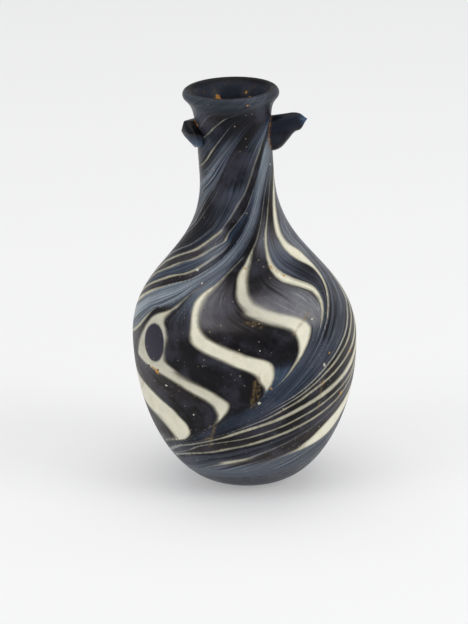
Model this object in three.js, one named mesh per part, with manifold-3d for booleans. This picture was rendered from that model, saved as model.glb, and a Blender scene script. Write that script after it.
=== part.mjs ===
// A small glass perfume flask: a free-blown vessel that leans a little, with an egg-shaped body, a slender
// neck, a flared mouth with a rounded lip, and the broken stubs of its two neck handles. The handles were
// trails of hot glass pressed onto the neck, so they and the vessel are one piece of glass.
// Millimetres, +Z up. The origin is the middle of the flat spot it stands on, and -Y faces the viewer.

import * as THREE from "three";
import { ConvexGeometry } from "three/addons/geometries/ConvexGeometry.js";
import { mergeVertices } from "three/addons/utils/BufferGeometryUtils.js";
import Module from "manifold-3d";

const wasm = await Module();
wasm.setup();

// Outside of the vessel
const height = 100.9;
const footRadius = 7; // the flat spot
const bellyRadius = 28;
const bellyHeight = 37.3; // the widest ring
const neckRadius = 9.2;
const neckHeight = 79; // where the neck is a plain tube
const lipRadius = 11.9;
const lipRound = 1.3; // radius of the rounded lip
const lipSlope = 0.75; // how far the flare opens where the lip begins, in radians from upright

// How far each curve of the outline runs along its tangent before it turns
const footRun = 11;
const underBellyRun = 20;
const overBellyRun = 18;
const throatRun = 21;
const neckRun = 16;
const flareRun = 3.4;

// Thickness of the glass; at the lip it is the rounded lip's own
const footWall = 4.2;
const bellyWall = 2.4;
const neckWall = 2.2;

// The centre line bends towards -X, by this much at the lip, and the mouth stands higher at +X than at -X
const lean = 4.1;
const mouthTilt = 0.4; // above and below level

// The stub at +X, where the handle tore off in a thorn
const thornBelowLip = 11.6; // from the lip's crest to the middle of the root
const thornReach = 9.1;
const thornBreadth = 7.6; // at the root
const thornTop = [4.3, 4.4, 4.6, 4.8, 5.0, 4.7, 3.4]; // height of its upper edge, from root to tip
const thornUnder = [-4.4, -4.3, -3.5, -1.7, 0.2, 1.0, 3.4]; // and of its lower edge

// The stub at -X, a broken lump: [degrees towards the viewer, proud of the neck, above its middle]
const lumpBelowLip = 11.1;
const lumpCorners = [
  [5, 2.9, 3.2],
  [-12, 2.4, 2.5],
  [7, 3.8, 0.8],
  [-10, 3.0, 0.4],
  [12, 3.3, -0.2],
  [18, 2.2, -1.5],
  [14, 0.9, -3.3],
  [-12, 0.6, -3.2],
  [28, 0.5, -2.6],
  [36, 0.2, -1.9],
  [39, 0.3, 0.8],
  [25, 3.1, 1.2],
  [36, 2.3, 1.4],
  [27, 0.5, 2.4],
  [9, 0.5, 3.4],
  [-15, 0.3, 3.1],
];

// Half of the neck's wall is where the roots of both stubs end
const rootDepth = neckWall / 2;

// Facets
const turns = 56;
const curveStations = 12;
const insideStride = 2; // the inside has a ring for every second ring of the outside
const lipStations = 8;
const thornStations = 10;
const thornSides = 16;

// The outline of the outside, from the foot's edge to where the lip begins
function outsideOutline(lipCentre) {
  const lipStart = pointOnLip(lipCentre, -lipSlope);
  const foot = new THREE.Vector2(footRadius, 0);
  const belly = new THREE.Vector2(bellyRadius, bellyHeight);
  const neck = new THREE.Vector2(neckRadius, neckHeight);
  const along = (point, x, y) => new THREE.Vector2(point.x + x, point.y + y);
  const lower = new THREE.CubicBezierCurve(
    foot,
    along(foot, footRun, 0),
    along(belly, 0, -underBellyRun),
    belly,
  );
  const shoulder = new THREE.CubicBezierCurve(
    belly,
    along(belly, 0, overBellyRun),
    along(neck, 0, -throatRun),
    neck,
  );
  const flare = new THREE.CubicBezierCurve(
    neck,
    along(neck, 0, neckRun),
    along(lipStart, -flareRun * Math.sin(lipSlope), -flareRun * Math.cos(lipSlope)),
    lipStart,
  );
  return [
    ...lower.getSpacedPoints(curveStations),
    ...shoulder.getSpacedPoints(curveStations).slice(1),
    ...flare.getPoints(curveStations).slice(1),
  ];
}

function pointOnLip(lipCentre, angle) {
  return new THREE.Vector2(lipCentre.x + lipRound * Math.cos(angle), lipCentre.y + lipRound * Math.sin(angle));
}

// The glass thins from the foot to the belly, and changes again to the neck and to the lip
function wallAt(z, lipStartHeight) {
  const step = (from, to) => THREE.MathUtils.smoothstep(z, from, to);
  return (
    footWall +
    (bellyWall - footWall) * step(0, bellyHeight) +
    (neckWall - bellyWall) * step(bellyHeight, neckHeight) +
    (2 * lipRound - neckWall) * step(neckHeight, lipStartHeight)
  );
}

// The closed outline: foot, outside, over the lip, and down the inside to the floor
function vesselOutline() {
  const lipCentre = new THREE.Vector2(lipRadius - lipRound, height - lipRound);
  const outside = outsideOutline(lipCentre);
  const lipStart = outside[outside.length - 1];
  const lip = [];
  for (let i = 1; i <= lipStations; i++) {
    lip.push(pointOnLip(lipCentre, -lipSlope + (Math.PI * i) / lipStations));
  }
  const inside = [];
  for (let i = outside.length - 1 - insideStride; i >= 0; i -= insideStride) {
    const before = outside[Math.max(i - 1, 0)];
    const tangent = i === 0 ? new THREE.Vector2(1, 0) : outside[i + 1].clone().sub(before).normalize();
    const inwards = new THREE.Vector2(-tangent.y, tangent.x);
    inside.push(outside[i].clone().addScaledVector(inwards, wallAt(outside[i].y, lipStart.y)));
  }
  return [new THREE.Vector2(0, 0), ...outside, ...lip, ...inside, new THREE.Vector2(0, footWall)];
}

// A handle trail torn off in a thorn: a tube of oval sections between its upper and lower edge
function thornGeometry() {
  const middle = height - thornBelowLip;
  const edge = (heights) => {
    const last = heights.length - 1;
    const points = heights.map((up, i) => new THREE.Vector3(i / last, up, 0));
    return new THREE.CatmullRomCurve3(points);
  };
  const upper = edge(thornTop);
  const under = edge(thornUnder);
  const geometry = new THREE.CylinderGeometry(1, 1, 1, thornSides, thornStations);
  geometry.rotateZ(-Math.PI / 2);
  const spots = geometry.attributes.position;
  for (let i = 0; i < spots.count; i++) {
    const share = spots.getX(i) + 0.5;
    const top = upper.getPoint(share).y;
    const bottom = under.getPoint(share).y;
    const out = neckRadius - rootDepth + share * (thornReach + rootDepth);
    const across = (-spots.getZ(i) * thornBreadth * Math.sqrt(1 - share)) / 2;
    spots.setXYZ(i, out, across, middle + (top + bottom) / 2 + (spots.getY(i) * (top - bottom)) / 2);
  }
  return geometry;
}

// A handle trail broken off in flat facets, with corners inside the wall so that it is one with the neck
function lumpGeometry() {
  const middle = height - lumpBelowLip;
  const corner = ([degrees, proud, up]) => {
    const angle = THREE.MathUtils.degToRad(degrees);
    const radius = neckRadius + proud;
    return new THREE.Vector3(-radius * Math.cos(angle), -radius * Math.sin(angle), middle + up);
  };
  const roots = lumpCorners.map(([degrees, , up]) => corner([degrees * 0.8, -rootDepth, up * 0.8]));
  return new ConvexGeometry([...lumpCorners.map(corner), ...roots]);
}

function toSolid(geometry) {
  const bare = geometry.clone();
  bare.deleteAttribute("normal");
  bare.deleteAttribute("uv");
  const merged = mergeVertices(bare, 1e-4);
  const corners = merged.index.array;
  const kept = [];
  for (let i = 0; i < corners.length; i += 3) {
    const [a, b, c] = corners.slice(i, i + 3);
    if (a !== b && b !== c && c !== a) kept.push(a, b, c);
  }
  return new wasm.Manifold(
    new wasm.Mesh({
      numProp: 3,
      vertProperties: merged.attributes.position.array,
      triVerts: new Uint32Array(kept),
    }),
  );
}

function toGeometry(solid) {
  const mesh = solid.getMesh();
  const geometry = new THREE.BufferGeometry();
  geometry.setAttribute("position", new THREE.BufferAttribute(mesh.vertProperties, 3));
  geometry.setIndex(new THREE.BufferAttribute(mesh.triVerts, 1));
  return geometry;
}

// Each ring is shifted sideways by its height, and the rings near the mouth are tilted
function leanOver(geometry) {
  const spots = geometry.attributes.position;
  for (let i = 0; i < spots.count; i++) {
    const [x, z] = [spots.getX(i), spots.getZ(i)];
    const share = z / height;
    spots.setX(i, x - lean * share ** 2);
    spots.setZ(i, z + (mouthTilt * x * share ** 6) / lipRadius);
  }
  geometry.computeVertexNormals();
  return geometry;
}

function makeFlask() {
  const vessel = new THREE.LatheGeometry(vesselOutline(), turns);
  vessel.rotateX(Math.PI / 2);
  const solid = toSolid(vessel).add(toSolid(thornGeometry())).add(toSolid(lumpGeometry()));
  const glass = new THREE.MeshStandardMaterial({ color: 0x2a2d36, roughness: 0.45, metalness: 0 });
  const flask = new THREE.Mesh(leanOver(toGeometry(solid)), glass);
  flask.name = "flask";
  return flask;
}

const group = new THREE.Group();
group.add(makeFlask());

export default group;
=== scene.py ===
# %% [markdown]
# A small perfume flask of blown glass, dark with cream and slate-blue trails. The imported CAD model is
# the frame: it gives the size that the finished flask has to keep. The vessel is a surface of
# revolution that leans a little, so it is spun from an outline, and the stubs of its two neck handles
# are joined to it so that the flask stays one piece of glass, as it is on the real object.

import bmesh
import bpy
import numpy as np
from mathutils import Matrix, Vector, kdtree


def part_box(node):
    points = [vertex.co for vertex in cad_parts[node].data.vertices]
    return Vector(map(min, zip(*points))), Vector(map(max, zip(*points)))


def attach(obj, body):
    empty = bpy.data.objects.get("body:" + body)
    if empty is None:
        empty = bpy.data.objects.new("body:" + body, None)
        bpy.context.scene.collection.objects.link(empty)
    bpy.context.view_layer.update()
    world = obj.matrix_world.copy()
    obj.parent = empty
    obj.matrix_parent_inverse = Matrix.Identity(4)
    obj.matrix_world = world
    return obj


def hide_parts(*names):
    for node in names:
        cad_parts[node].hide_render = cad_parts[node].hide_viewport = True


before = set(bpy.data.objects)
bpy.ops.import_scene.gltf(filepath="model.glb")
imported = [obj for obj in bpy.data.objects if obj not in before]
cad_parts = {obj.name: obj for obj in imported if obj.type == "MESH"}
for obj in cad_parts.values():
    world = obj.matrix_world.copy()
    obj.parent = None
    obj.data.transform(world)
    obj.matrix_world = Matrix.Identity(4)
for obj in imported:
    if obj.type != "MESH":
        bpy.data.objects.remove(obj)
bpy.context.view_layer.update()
MM = 0.001
low, high = (np.array(corner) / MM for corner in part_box("flask"))
print("CAD box in mm:", low.round(2), high.round(2))

# %% [markdown]
# The outline is drawn once, in millimetres, as three smooth curves: under the belly, over the shoulder
# and up to the flare. The lip is half a circle, and the inside follows the outside at the thickness of
# the glass. The curves are sampled finely, because the mesh also carries the facts of the pattern.

# %% Sizes of the vessel
HEIGHT = 100.9
FOOT_RADIUS = 7.0
BELLY_RADIUS = 28.0
BELLY_HEIGHT = 37.3
NECK_RADIUS = 9.2
NECK_HEIGHT = 79.0
LIP_RADIUS = 11.9
LIP_ROUND = 1.3
LIP_SLOPE = 0.75
FOOT_RUN = 11.0
UNDER_BELLY_RUN = 20.0
OVER_BELLY_RUN = 18.0
THROAT_RUN = 21.0
NECK_RUN = 16.0
FLARE_RUN = 3.4
FOOT_WALL = 4.2
BELLY_WALL = 2.4
NECK_WALL = 2.2
LEAN = 4.1
MOUTH_TILT = 0.4
print("height and width of the vessel in mm:", HEIGHT, 2 * BELLY_RADIUS)

# %% Fineness of the mesh, with spacings in mm
TURN_STEPS = 360
LIP_POINTS = 14
OUTSIDE_SPACING = 0.58
FOOT_SPACING = 1.0
INSIDE_SPACING = 4.5
MOUTH_SPACING = 1.0
MOUTH_DEPTH = 88.0  # the inside is finer above this height, where the mouth shows it
AXIS_MERGE = 1e-4
STUB_MERGE = 1e-3
UNION_MERGE = 2e-3
print("points round the belly:", TURN_STEPS)


# %% Helpers for the outline
CURVE_POINTS = 160


def bezier(start, handle_a, handle_b, end):
    t = np.linspace(0, 1, CURVE_POINTS)[:, None]
    ends = (1 - t) ** 3 * np.array(start) + t**3 * np.array(end)
    handles = 3 * (1 - t) ** 2 * t * np.array(handle_a) + 3 * (1 - t) * t**2 * np.array(handle_b)
    return ends + handles


def evenly(points, spacing):
    steps = np.hypot(*np.diff(points, axis=0).T)
    walked = np.concatenate([[0], np.cumsum(steps)])
    marks = np.linspace(0, walked[-1], max(2, round(walked[-1] / spacing)))
    return np.stack([np.interp(marks, walked, points[:, i]) for i in (0, 1)], axis=1)


def step_between(value, start, end):
    share = np.clip((value - start) / (end - start), 0, 1)
    return share * share * (3 - 2 * share)


print("halfway between two values:", step_between(0.5, 0, 1))

# %% Draw the outline of the outside
lip_centre = np.array([LIP_RADIUS - LIP_ROUND, HEIGHT - LIP_ROUND])
lip_turn = np.linspace(-LIP_SLOPE, np.pi - LIP_SLOPE, LIP_POINTS)
lip = lip_centre + LIP_ROUND * np.stack([np.cos(lip_turn), np.sin(lip_turn)], axis=1)
lip_start = lip[0]
flare_pull = FLARE_RUN * np.array([np.sin(LIP_SLOPE), np.cos(LIP_SLOPE)])

under_belly = bezier(
    (FOOT_RADIUS, 0),
    (FOOT_RADIUS + FOOT_RUN, 0),
    (BELLY_RADIUS, BELLY_HEIGHT - UNDER_BELLY_RUN),
    (BELLY_RADIUS, BELLY_HEIGHT),
)
shoulder = bezier(
    (BELLY_RADIUS, BELLY_HEIGHT),
    (BELLY_RADIUS, BELLY_HEIGHT + OVER_BELLY_RUN),
    (NECK_RADIUS, NECK_HEIGHT - THROAT_RUN),
    (NECK_RADIUS, NECK_HEIGHT),
)
flare = bezier(
    (NECK_RADIUS, NECK_HEIGHT),
    (NECK_RADIUS, NECK_HEIGHT + NECK_RUN),
    lip_start - flare_pull,
    lip_start,
)
outside = np.concatenate([under_belly, shoulder[1:], flare[1:]])
print("points of the outside before sampling:", len(outside))


# %% Follow it at the thickness of the glass
def wall_at(z):
    wall = FOOT_WALL + (BELLY_WALL - FOOT_WALL) * step_between(z, 0, BELLY_HEIGHT)
    wall = wall + (NECK_WALL - BELLY_WALL) * step_between(z, BELLY_HEIGHT, NECK_HEIGHT)
    return wall + (2 * LIP_ROUND - NECK_WALL) * step_between(z, NECK_HEIGHT, lip_start[1])


tangent = np.gradient(outside, axis=0)
tangent[0] = (1, 0)
tangent /= np.hypot(*tangent.T)[:, None]
inwards = np.stack([-tangent[:, 1], tangent[:, 0]], axis=1)
inside = (outside + inwards * wall_at(outside[:, 1])[:, None])[::-1]
print("glass at the foot and at the belly in mm:", FOOT_WALL, BELLY_WALL)

# %% [markdown]
# The closed outline goes from the middle of the foot, up the outside, over the lip and down to the
# floor of the inside. Spinning it about the upright axis makes the hollow vessel in one step. The
# points on the axis fall together, so doubles are merged and normals are worked out again.

# %% Spin the vessel
def new_object(name, bm):
    mesh = bpy.data.meshes.new(name)
    bm.to_mesh(mesh)
    bm.free()
    piece = bpy.data.objects.new(name, mesh)
    bpy.context.collection.objects.link(piece)
    return piece


def spun(name, outline, steps):
    bm = bmesh.new()
    points = [bm.verts.new((r, 0, z)) for r, z in outline]
    edges = [bm.edges.new(pair) for pair in zip(points, points[1:])]
    bmesh.ops.spin(
        bm,
        geom=points + edges,
        cent=(0, 0, 0),
        axis=(0, 0, 1),
        angle=2 * np.pi,
        steps=steps,
        use_merge=True,
    )
    bmesh.ops.remove_doubles(bm, verts=bm.verts, dist=AXIS_MERGE)
    bmesh.ops.recalc_face_normals(bm, faces=bm.faces)
    return new_object(name, bm)


foot_line = evenly(np.array([(0, 0), (FOOT_RADIUS, 0)]), FOOT_SPACING)
floor_line = evenly(np.array([inside[-1], (0, FOOT_WALL)]), INSIDE_SPACING)
in_mouth = inside[:, 1] > MOUTH_DEPTH
closed_outline = np.concatenate(
    [
        foot_line,
        evenly(outside, OUTSIDE_SPACING)[1:],
        lip[1:-1],
        evenly(inside[in_mouth], MOUTH_SPACING),
        evenly(inside[~in_mouth], INSIDE_SPACING),
        floor_line[1:],
    ]
)
flask = spun("perfume_flask", closed_outline, TURN_STEPS)
print("rings of the vessel:", len(closed_outline), "faces:", len(flask.data.polygons))

# %% [markdown]
# Each handle was a trail of hot glass pressed onto the neck, and only its root is left. On the right
# it tore off in a smooth thorn. A cylinder with many rings is bent into it: every ring becomes an oval
# between the thorn's upper and lower edge, which are given by a few heights.

# %% Shape the thorn
ROOT_DEPTH = NECK_WALL / 2
THORN_BELOW_LIP = 11.6
THORN_REACH = 9.1
THORN_BREADTH = 7.6
THORN_TOP = [4.3, 4.4, 4.6, 4.8, 5.0, 4.7, 3.4]
THORN_UNDER = [-4.4, -4.3, -3.5, -1.7, 0.2, 1.0, 3.4]
THORN_SIDES = 56
THORN_RINGS = 36


def through(heights, share):
    """A smooth curve through evenly spaced heights."""
    last = len(heights) - 1
    at = min(int(share * last), last - 1)
    t = share * last - at
    before = heights[max(at - 1, 0)]
    a, b = heights[at], heights[at + 1]
    after = heights[min(at + 2, last)]
    slope_a = (b - before) / 2
    slope_b = (after - a) / 2
    curve = (2 * t**3 - 3 * t**2 + 1) * a + (t**3 - 2 * t**2 + t) * slope_a
    return curve + (3 * t**2 - 2 * t**3) * b + (t**3 - t**2) * slope_b


def thorn():
    bm = bmesh.new()
    bmesh.ops.create_cone(
        bm,
        cap_ends=True,
        segments=THORN_SIDES,
        radius1=1,
        radius2=1,
        depth=1,
    )
    sides = [e for e in bm.edges if abs(e.verts[0].co.z - e.verts[1].co.z) > 0.5]
    bmesh.ops.subdivide_edges(bm, edges=sides, cuts=THORN_RINGS, use_grid_fill=True)
    for vert in bm.verts:
        share = vert.co.z + 0.5
        up = through(THORN_TOP, share)
        down = through(THORN_UNDER, share)
        out = NECK_RADIUS - ROOT_DEPTH + share * (THORN_REACH + ROOT_DEPTH)
        across = vert.co.y * THORN_BREADTH / 2 * np.sqrt(max(1 - share, 0))
        middle = HEIGHT - THORN_BELOW_LIP + (up + down) / 2
        vert.co = (out, across, middle + vert.co.x * (up - down) / 2)
    bmesh.ops.remove_doubles(bm, verts=bm.verts, dist=STUB_MERGE)
    bmesh.ops.recalc_face_normals(bm, faces=bm.faces)
    return new_object("thorn", bm)


thorn_piece = thorn()
print("thorn faces:", len(thorn_piece.data.polygons))

# %% [markdown]
# On the left the handle broke off in flat facets. A hull round a few corners gives such a lump. Its
# edges are rounded slightly, as weathering leaves them, and its back lies inside the wall.

# %% Shape the lump
LUMP_BELOW_LIP = 11.1
LUMP_CORNERS = [  # degrees towards the viewer, proud of the neck, above the lump's middle
    (5, 2.9, 3.2),
    (-12, 2.4, 2.5),
    (7, 3.8, 0.8),
    (-10, 3.0, 0.4),
    (12, 3.3, -0.2),
    (18, 2.2, -1.5),
    (14, 0.9, -3.3),
    (-12, 0.6, -3.2),
    (28, 0.5, -2.6),
    (36, 0.2, -1.9),
    (39, 0.3, 0.8),
    (25, 3.1, 1.2),
    (36, 2.3, 1.4),
    (27, 0.5, 2.4),
    (9, 0.5, 3.4),
    (-15, 0.3, 3.1),
]
LUMP_ROUND = 0.16
LUMP_ROOT = 0.8  # its back is this share of its front


def lump():
    bm = bmesh.new()
    for degrees, proud, up in LUMP_CORNERS:
        root = (degrees * LUMP_ROOT, -ROOT_DEPTH, up * LUMP_ROOT)
        for turn, out, rise in ((degrees, proud, up), root):
            radius = NECK_RADIUS + out
            angle = np.radians(turn)
            place = (-radius * np.cos(angle), -radius * np.sin(angle), HEIGHT - LUMP_BELOW_LIP + rise)
            bm.verts.new(place)
    hull = bmesh.ops.convex_hull(bm, input=bm.verts)
    bmesh.ops.delete(bm, geom=hull["geom_interior"], context="VERTS")
    bmesh.ops.bevel(
        bm,
        geom=list(bm.edges),
        offset=LUMP_ROUND,
        segments=2,
        profile=0.5,
        affect="EDGES",
        clamp_overlap=True,
        material=-1,
    )
    bmesh.ops.remove_doubles(bm, verts=bm.verts, dist=STUB_MERGE)
    bmesh.ops.recalc_face_normals(bm, faces=bm.faces)
    return new_object("lump", bm)


lump_piece = lump()
print("lump faces:", len(lump_piece.data.polygons))


# %% [markdown]
# The stubs are fused with the neck, so the three meshes are united into one closed surface by exact
# booleans. Meshes that only overlapped would show a hard line where the real glass has none. The real
# flask leans, and its mouth is not quite level: both are simple shifts by height, given after the
# union, so that everything up to here could be worked out round an upright axis.

# %% Unite the glass
def unite(target, parts):
    for part in parts:
        union = target.modifiers.new("union", "BOOLEAN")
        union.operation = "UNION"
        union.solver = "EXACT"
        union.object = part
    depsgraph = bpy.context.evaluated_depsgraph_get()
    joined = bpy.data.meshes.new_from_object(target.evaluated_get(depsgraph))
    target.modifiers.clear()
    target.data = joined
    for part in parts:
        bpy.data.objects.remove(part)


unite(flask, [thorn_piece, lump_piece])
bm = bmesh.new()
bm.from_mesh(flask.data)
bmesh.ops.remove_doubles(bm, verts=bm.verts, dist=UNION_MERGE)
bmesh.ops.recalc_face_normals(bm, faces=bm.faces)
open_edges = sum(not edge.is_manifold for edge in bm.edges)
bm.to_mesh(flask.data)
bm.free()
print("faces after the union:", len(flask.data.polygons), "open edges:", open_edges)

# %% Measure every point before the lean
count = len(flask.data.vertices)
spots = np.empty(count * 3)
flask.data.vertices.foreach_get("co", spots)
spots = spots.reshape(-1, 3)
x, y, z = spots.T.copy()
radius = np.hypot(x, y)
angle = np.degrees(np.arctan2(x, -y))  # 0 faces the viewer, + towards the thorn
outside_radius = np.interp(z, np.append(outside[:, 1], HEIGHT), np.append(outside[:, 0], LIP_RADIUS))
proud = radius - outside_radius
print("points to dress:", count)

# %% Lean the flask
share = z / HEIGHT
leaned = spots.copy()
leaned[:, 0] = x - LEAN * share**2
leaned[:, 2] = z + MOUTH_TILT * x * share**6 / LIP_RADIUS
flask.data.vertices.foreach_set("co", (leaned * MM).ravel())
flask.data.update()
print("dressed size in mm:", (leaned.max(0) - leaned.min(0)).round(2), "frame:", (high - low).round(2))

# %% [markdown]
# The pattern is made of trails: threads of cream and grey-blue glass that were laid on the hot vessel,
# pulled about and pressed flat. They could be curves laid on the surface, but pressed flat they have
# no height of their own, so they are only colour. Each trail is one line that runs from the foot to
# the mouth, and the lines never cross. Here each is a short list of places: height in mm, degrees
# round the flask, and width in degrees. The side that the viewer sees follows the real flask. The
# far side is freer.

# %% Bundle of threads below the swirl
# Low on the vessel the swirled bands are drawn out into one thin bundle. Only its two edges are given.
BUNDLE = ["band_b", "band_c", "band_d", "band_e", "band_f", "sweep_a", "sweep_b", "sweep_c"]
BUNDLE_EDGES = [
    (0, -326, -314), (5, -186, -174), (8, -106, -94), (10, -81, -74), (12, -63, -58),
    (14, -49.8, -45), (16, -36.8, -32.2),
]  # fmt: skip
BUNDLE_WIDTH = 0.8
print("threads in the bundle:", len(BUNDLE))

# %% Streams from the left shoulder
TRAILS = {}
TRAILS["stream_a"] = [
    (0, -505, 8), (5, -365, 8), (8, -285, 6), (12, -245, 5), (20, -204, 4), (26, -174, 3.5),
    (32, -152, 3.5), (40, -128, 3.5), (48, -107, 3.5), (54, -93, 4), (56.3, -88, 5), (58, -80, 5.5),
    (59.7, -70, 5.5), (61, -60, 6), (62.3, -50, 6.5), (64.2, -40, 6), (66.2, -30, 6), (67.3, -24, 6),
    (68.6, -20, 3.5), (71.2, -10, 4), (74, 0, 4), (76.2, 10, 3), (79.7, 20, 3.4), (83.5, 30, 3.6),
    (86.5, 40, 4.6), (88, 45, 4.6), (89.3, 51, 3), (90.3, 57, 2), (93, 72, 1.5), (96, 105, 2),
    (98, 145, 3), (102, 185, 4),
]  # fmt: skip
TRAILS["stream_b"] = [
    (0, -475, 8), (5, -335, 8), (8, -255, 6), (12, -225, 5), (20, -190, 4), (26, -162, 3.5),
    (32, -142, 3.5), (40, -120, 3.5), (48, -99, 3.5), (53.4, -88, 4), (55.1, -80, 4.5), (57, -70, 5),
    (58.8, -60, 4.5), (60, -50, 5), (61.6, -40, 6), (63.5, -30, 5), (64.6, -22, 4), (65.2, -17.5, 4),
    (66.3, -15, 2.5), (67.3, -13, 2), (68, -10, 1.5), (70.2, 0, 1.5), (72.3, 10, 1.5), (75.5, 20, 1.5),
    (79, 30, 1.2), (83, 40, 1), (87, 51, 1), (90, 66, 1), (93, 81, 1), (96, 114, 1.5), (98, 154, 2),
    (102, 194, 3),
]  # fmt: skip
TRAILS["stream_c"] = [
    (0, -445, 8), (5, -305, 8), (8, -225, 6), (12, -202, 5), (20, -174, 4), (26, -150, 4), (32, -133, 4),
    (40, -112, 4), (46, -98, 4), (50, -88, 4.5), (52, -80, 4.5), (54, -70, 5), (55.8, -60, 5),
    (57, -49, 5), (58.5, -40, 5), (60.1, -33, 5), (61.7, -25.5, 5), (63.2, -17.5, 3), (65, -11.3, 1.5),
    (66.8, -5.7, 1), (68.2, 1, 1), (70.6, 10, 1), (73.4, 20, 1), (77, 30, 1), (81, 40, 1), (85, 53, 1),
    (90, 75, 1), (93, 90, 1), (96, 121, 1), (98, 161, 2), (102, 201, 3),
]  # fmt: skip
TRAILS["stream_d"] = [
    (0, -415, 10), (5, -275, 10), (8, -195, 8), (12, -160, 6), (20, -146, 5), (26, -137, 5),
    (32, -130, 5), (36, -120, 5), (41, -107.5, 5.5), (46.9, -88, 7), (49.2, -80, 5.5), (51.6, -70, 4.5),
    (53.5, -60, 3), (54.9, -51, 2.4), (56.4, -40.5, 2), (58.4, -31, 1.4), (60.4, -22.5, 1),
    (63, -12, 1), (66, -1, 1), (69, 9, 1), (72, 18.5, 1), (75.5, 28, 1), (80, 41.5, 1), (84, 55, 1),
    (90, 82, 1), (93, 97, 1), (96, 127, 1), (98, 168, 2), (102, 208, 3),
]  # fmt: skip
print("streams:", len(TRAILS))

# %% The broad bands that fold back on themselves
TRAILS["hidden_left"] = [
    (0, -375, 16), (5, -235, 16), (8, -155, 14), (10, -108, 14), (12, -87, 10), (13, -84.5, 10),
    (14.5, -88, 10), (16, -95, 10), (19, -107, 12), (23, -119, 14), (27, -125, 10), (32, -121, 8),
    (37, -111, 6), (41, -99, 4), (45, -86, 3), (46.5, -80, 2.5), (47.8, -75, 2.2), (49.3, -70, 2),
    (51, -62, 1.6), (53, -51.5, 1.2), (55, -42.5, 1), (57.5, -31.5, 1), (60, -20.5, 1), (63, -9, 1),
    (66, 2.5, 1), (69, 12.5, 1), (72, 22, 1), (75.5, 31.5, 1), (80, 45, 1), (84, 60, 1), (90, 88, 1),
    (93, 103, 1), (96, 132, 1), (98, 174, 2), (102, 214, 3),
]  # fmt: skip
TRAILS["band_a"] = [
    (0, -330, 3), (5, -190, 3), (8, -110, 3), (10, -84, 3), (12, -66, 3), (13, -60, 4), (14, -54, 5),
    (15, -47, 7), (16, -43.5, 11), (17, -43.2, 15.6), (18, -43.7, 20.4), (20, -48, 29), (22, -59, 45),
    (24, -64, 46), (26, -69.5, 39), (28, -78, 34), (29, -84, 26), (30.5, -92, 18), (33, -98, 12),
    (36, -95, 9), (38.5, -88, 7.5), (40, -80.5, 7), (41.4, -75, 5.5), (43, -70.2, 4), (45, -66.3, 3),
    (47, -62.5, 2), (48.3, -59.5, 1.2), (49.5, -52.5, 1), (50.8, -47.5, 1), (52.8, -41.3, 1),
    (54.8, -35.8, 1), (57, -27.8, 1), (59.2, -18.2, 1), (61, -11, 1), (63, -4.5, 1), (66, 6, 1),
    (69, 16, 1), (72, 25.5, 1), (75.5, 35, 1), (80, 49, 1), (84, 65, 1), (90, 94, 1), (93, 109, 1),
    (96, 137, 1), (98, 180, 2), (102, 220, 3),
]  # fmt: skip
TRAILS["band_b"] = [
    (18, -31.4, 0.8), (19, -27.8, 0.9), (20, -24.4, 1), (21, -20.6, 1.3), (22, -17.6, 1.7),
    (23, -15.7, 2.6), (24, -14.3, 3.8), (25, -13.4, 5.3), (26, -13, 7.5), (27, -13.1, 9.8),
    (28, -14.3, 12.6), (29, -17, 16), (30, -21, 18), (31, -25, 20), (32, -30, 21.5), (33, -37, 25),
    (34, -46.5, 33), (35, -53.7, 37), (36, -55.6, 32), (37, -57.3, 27.5), (39, -56.8, 25.5),
    (41, -55.4, 24.2), (43, -53.9, 22.4), (45, -53.6, 17.5), (46, -54, 13.6), (47, -52.8, 10.6),
    (48, -50, 7.6), (49, -46.5, 3.8), (50, -43.5, 3), (52.3, -38.8, 1.8), (54.2, -33.9, 1.6),
    (55.6, -29, 1.5), (57, -24, 1.4), (59.5, -14, 1.2), (61, -8.2, 1), (63.3, 0, 1), (66, 9.8, 1),
    (69, 19.8, 1), (72, 29.3, 1), (75.5, 39, 1), (80, 53, 1), (84, 70, 1), (90, 100, 1), (93, 116, 1),
    (96, 143, 1), (98, 187, 2), (102, 227, 3),
]  # fmt: skip
TRAILS["band_c"] = [
    (18, -29.9, 0.8), (20, -21.9, 0.8), (22, -14.6, 0.8), (24, -8.6, 0.8), (26, -2.4, 0.8), (28, 3.5, 0.8),
    (30, 8, 1), (31, 9.6, 1.4), (32, 10.6, 2.4), (33, 10.8, 4.7), (34, 10.5, 7.2), (35, 10.4, 9),
    (36, 9.7, 11), (37, 7.9, 14.5), (38, 4.7, 20.4), (39, 1.6, 24), (40, -3, 26), (41, -9.6, 24.5),
    (42, -14.7, 23.2), (43, -19, 20), (44, -22.2, 15.4), (45, -24.7, 11.2), (46, -26, 8.6),
    (47, -26.9, 7.2), (48, -27.6, 6.7), (49, -28.1, 6.7), (50, -28.4, 7), (51, -28.3, 7.4),
    (52, -28, 7.7), (53, -26.8, 7.5), (54, -25, 7), (55, -22.1, 6), (56, -18.8, 4.4), (57, -15.9, 3.1),
    (58, -13, 2.3), (60, -6.3, 1.8), (62, 2.2, 1.3), (64, 9.4, 1.2), (66, 16, 1.2), (68, 23, 1.1),
    (70, 28.4, 1), (73, 35.3, 1), (75.5, 41.5, 1), (78, 48.5, 1), (80, 55, 1), (84, 75, 1),
    (90, 109, 1), (93, 126, 1), (96, 150, 1), (98, 195, 2), (102, 235, 3),
]  # fmt: skip
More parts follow.
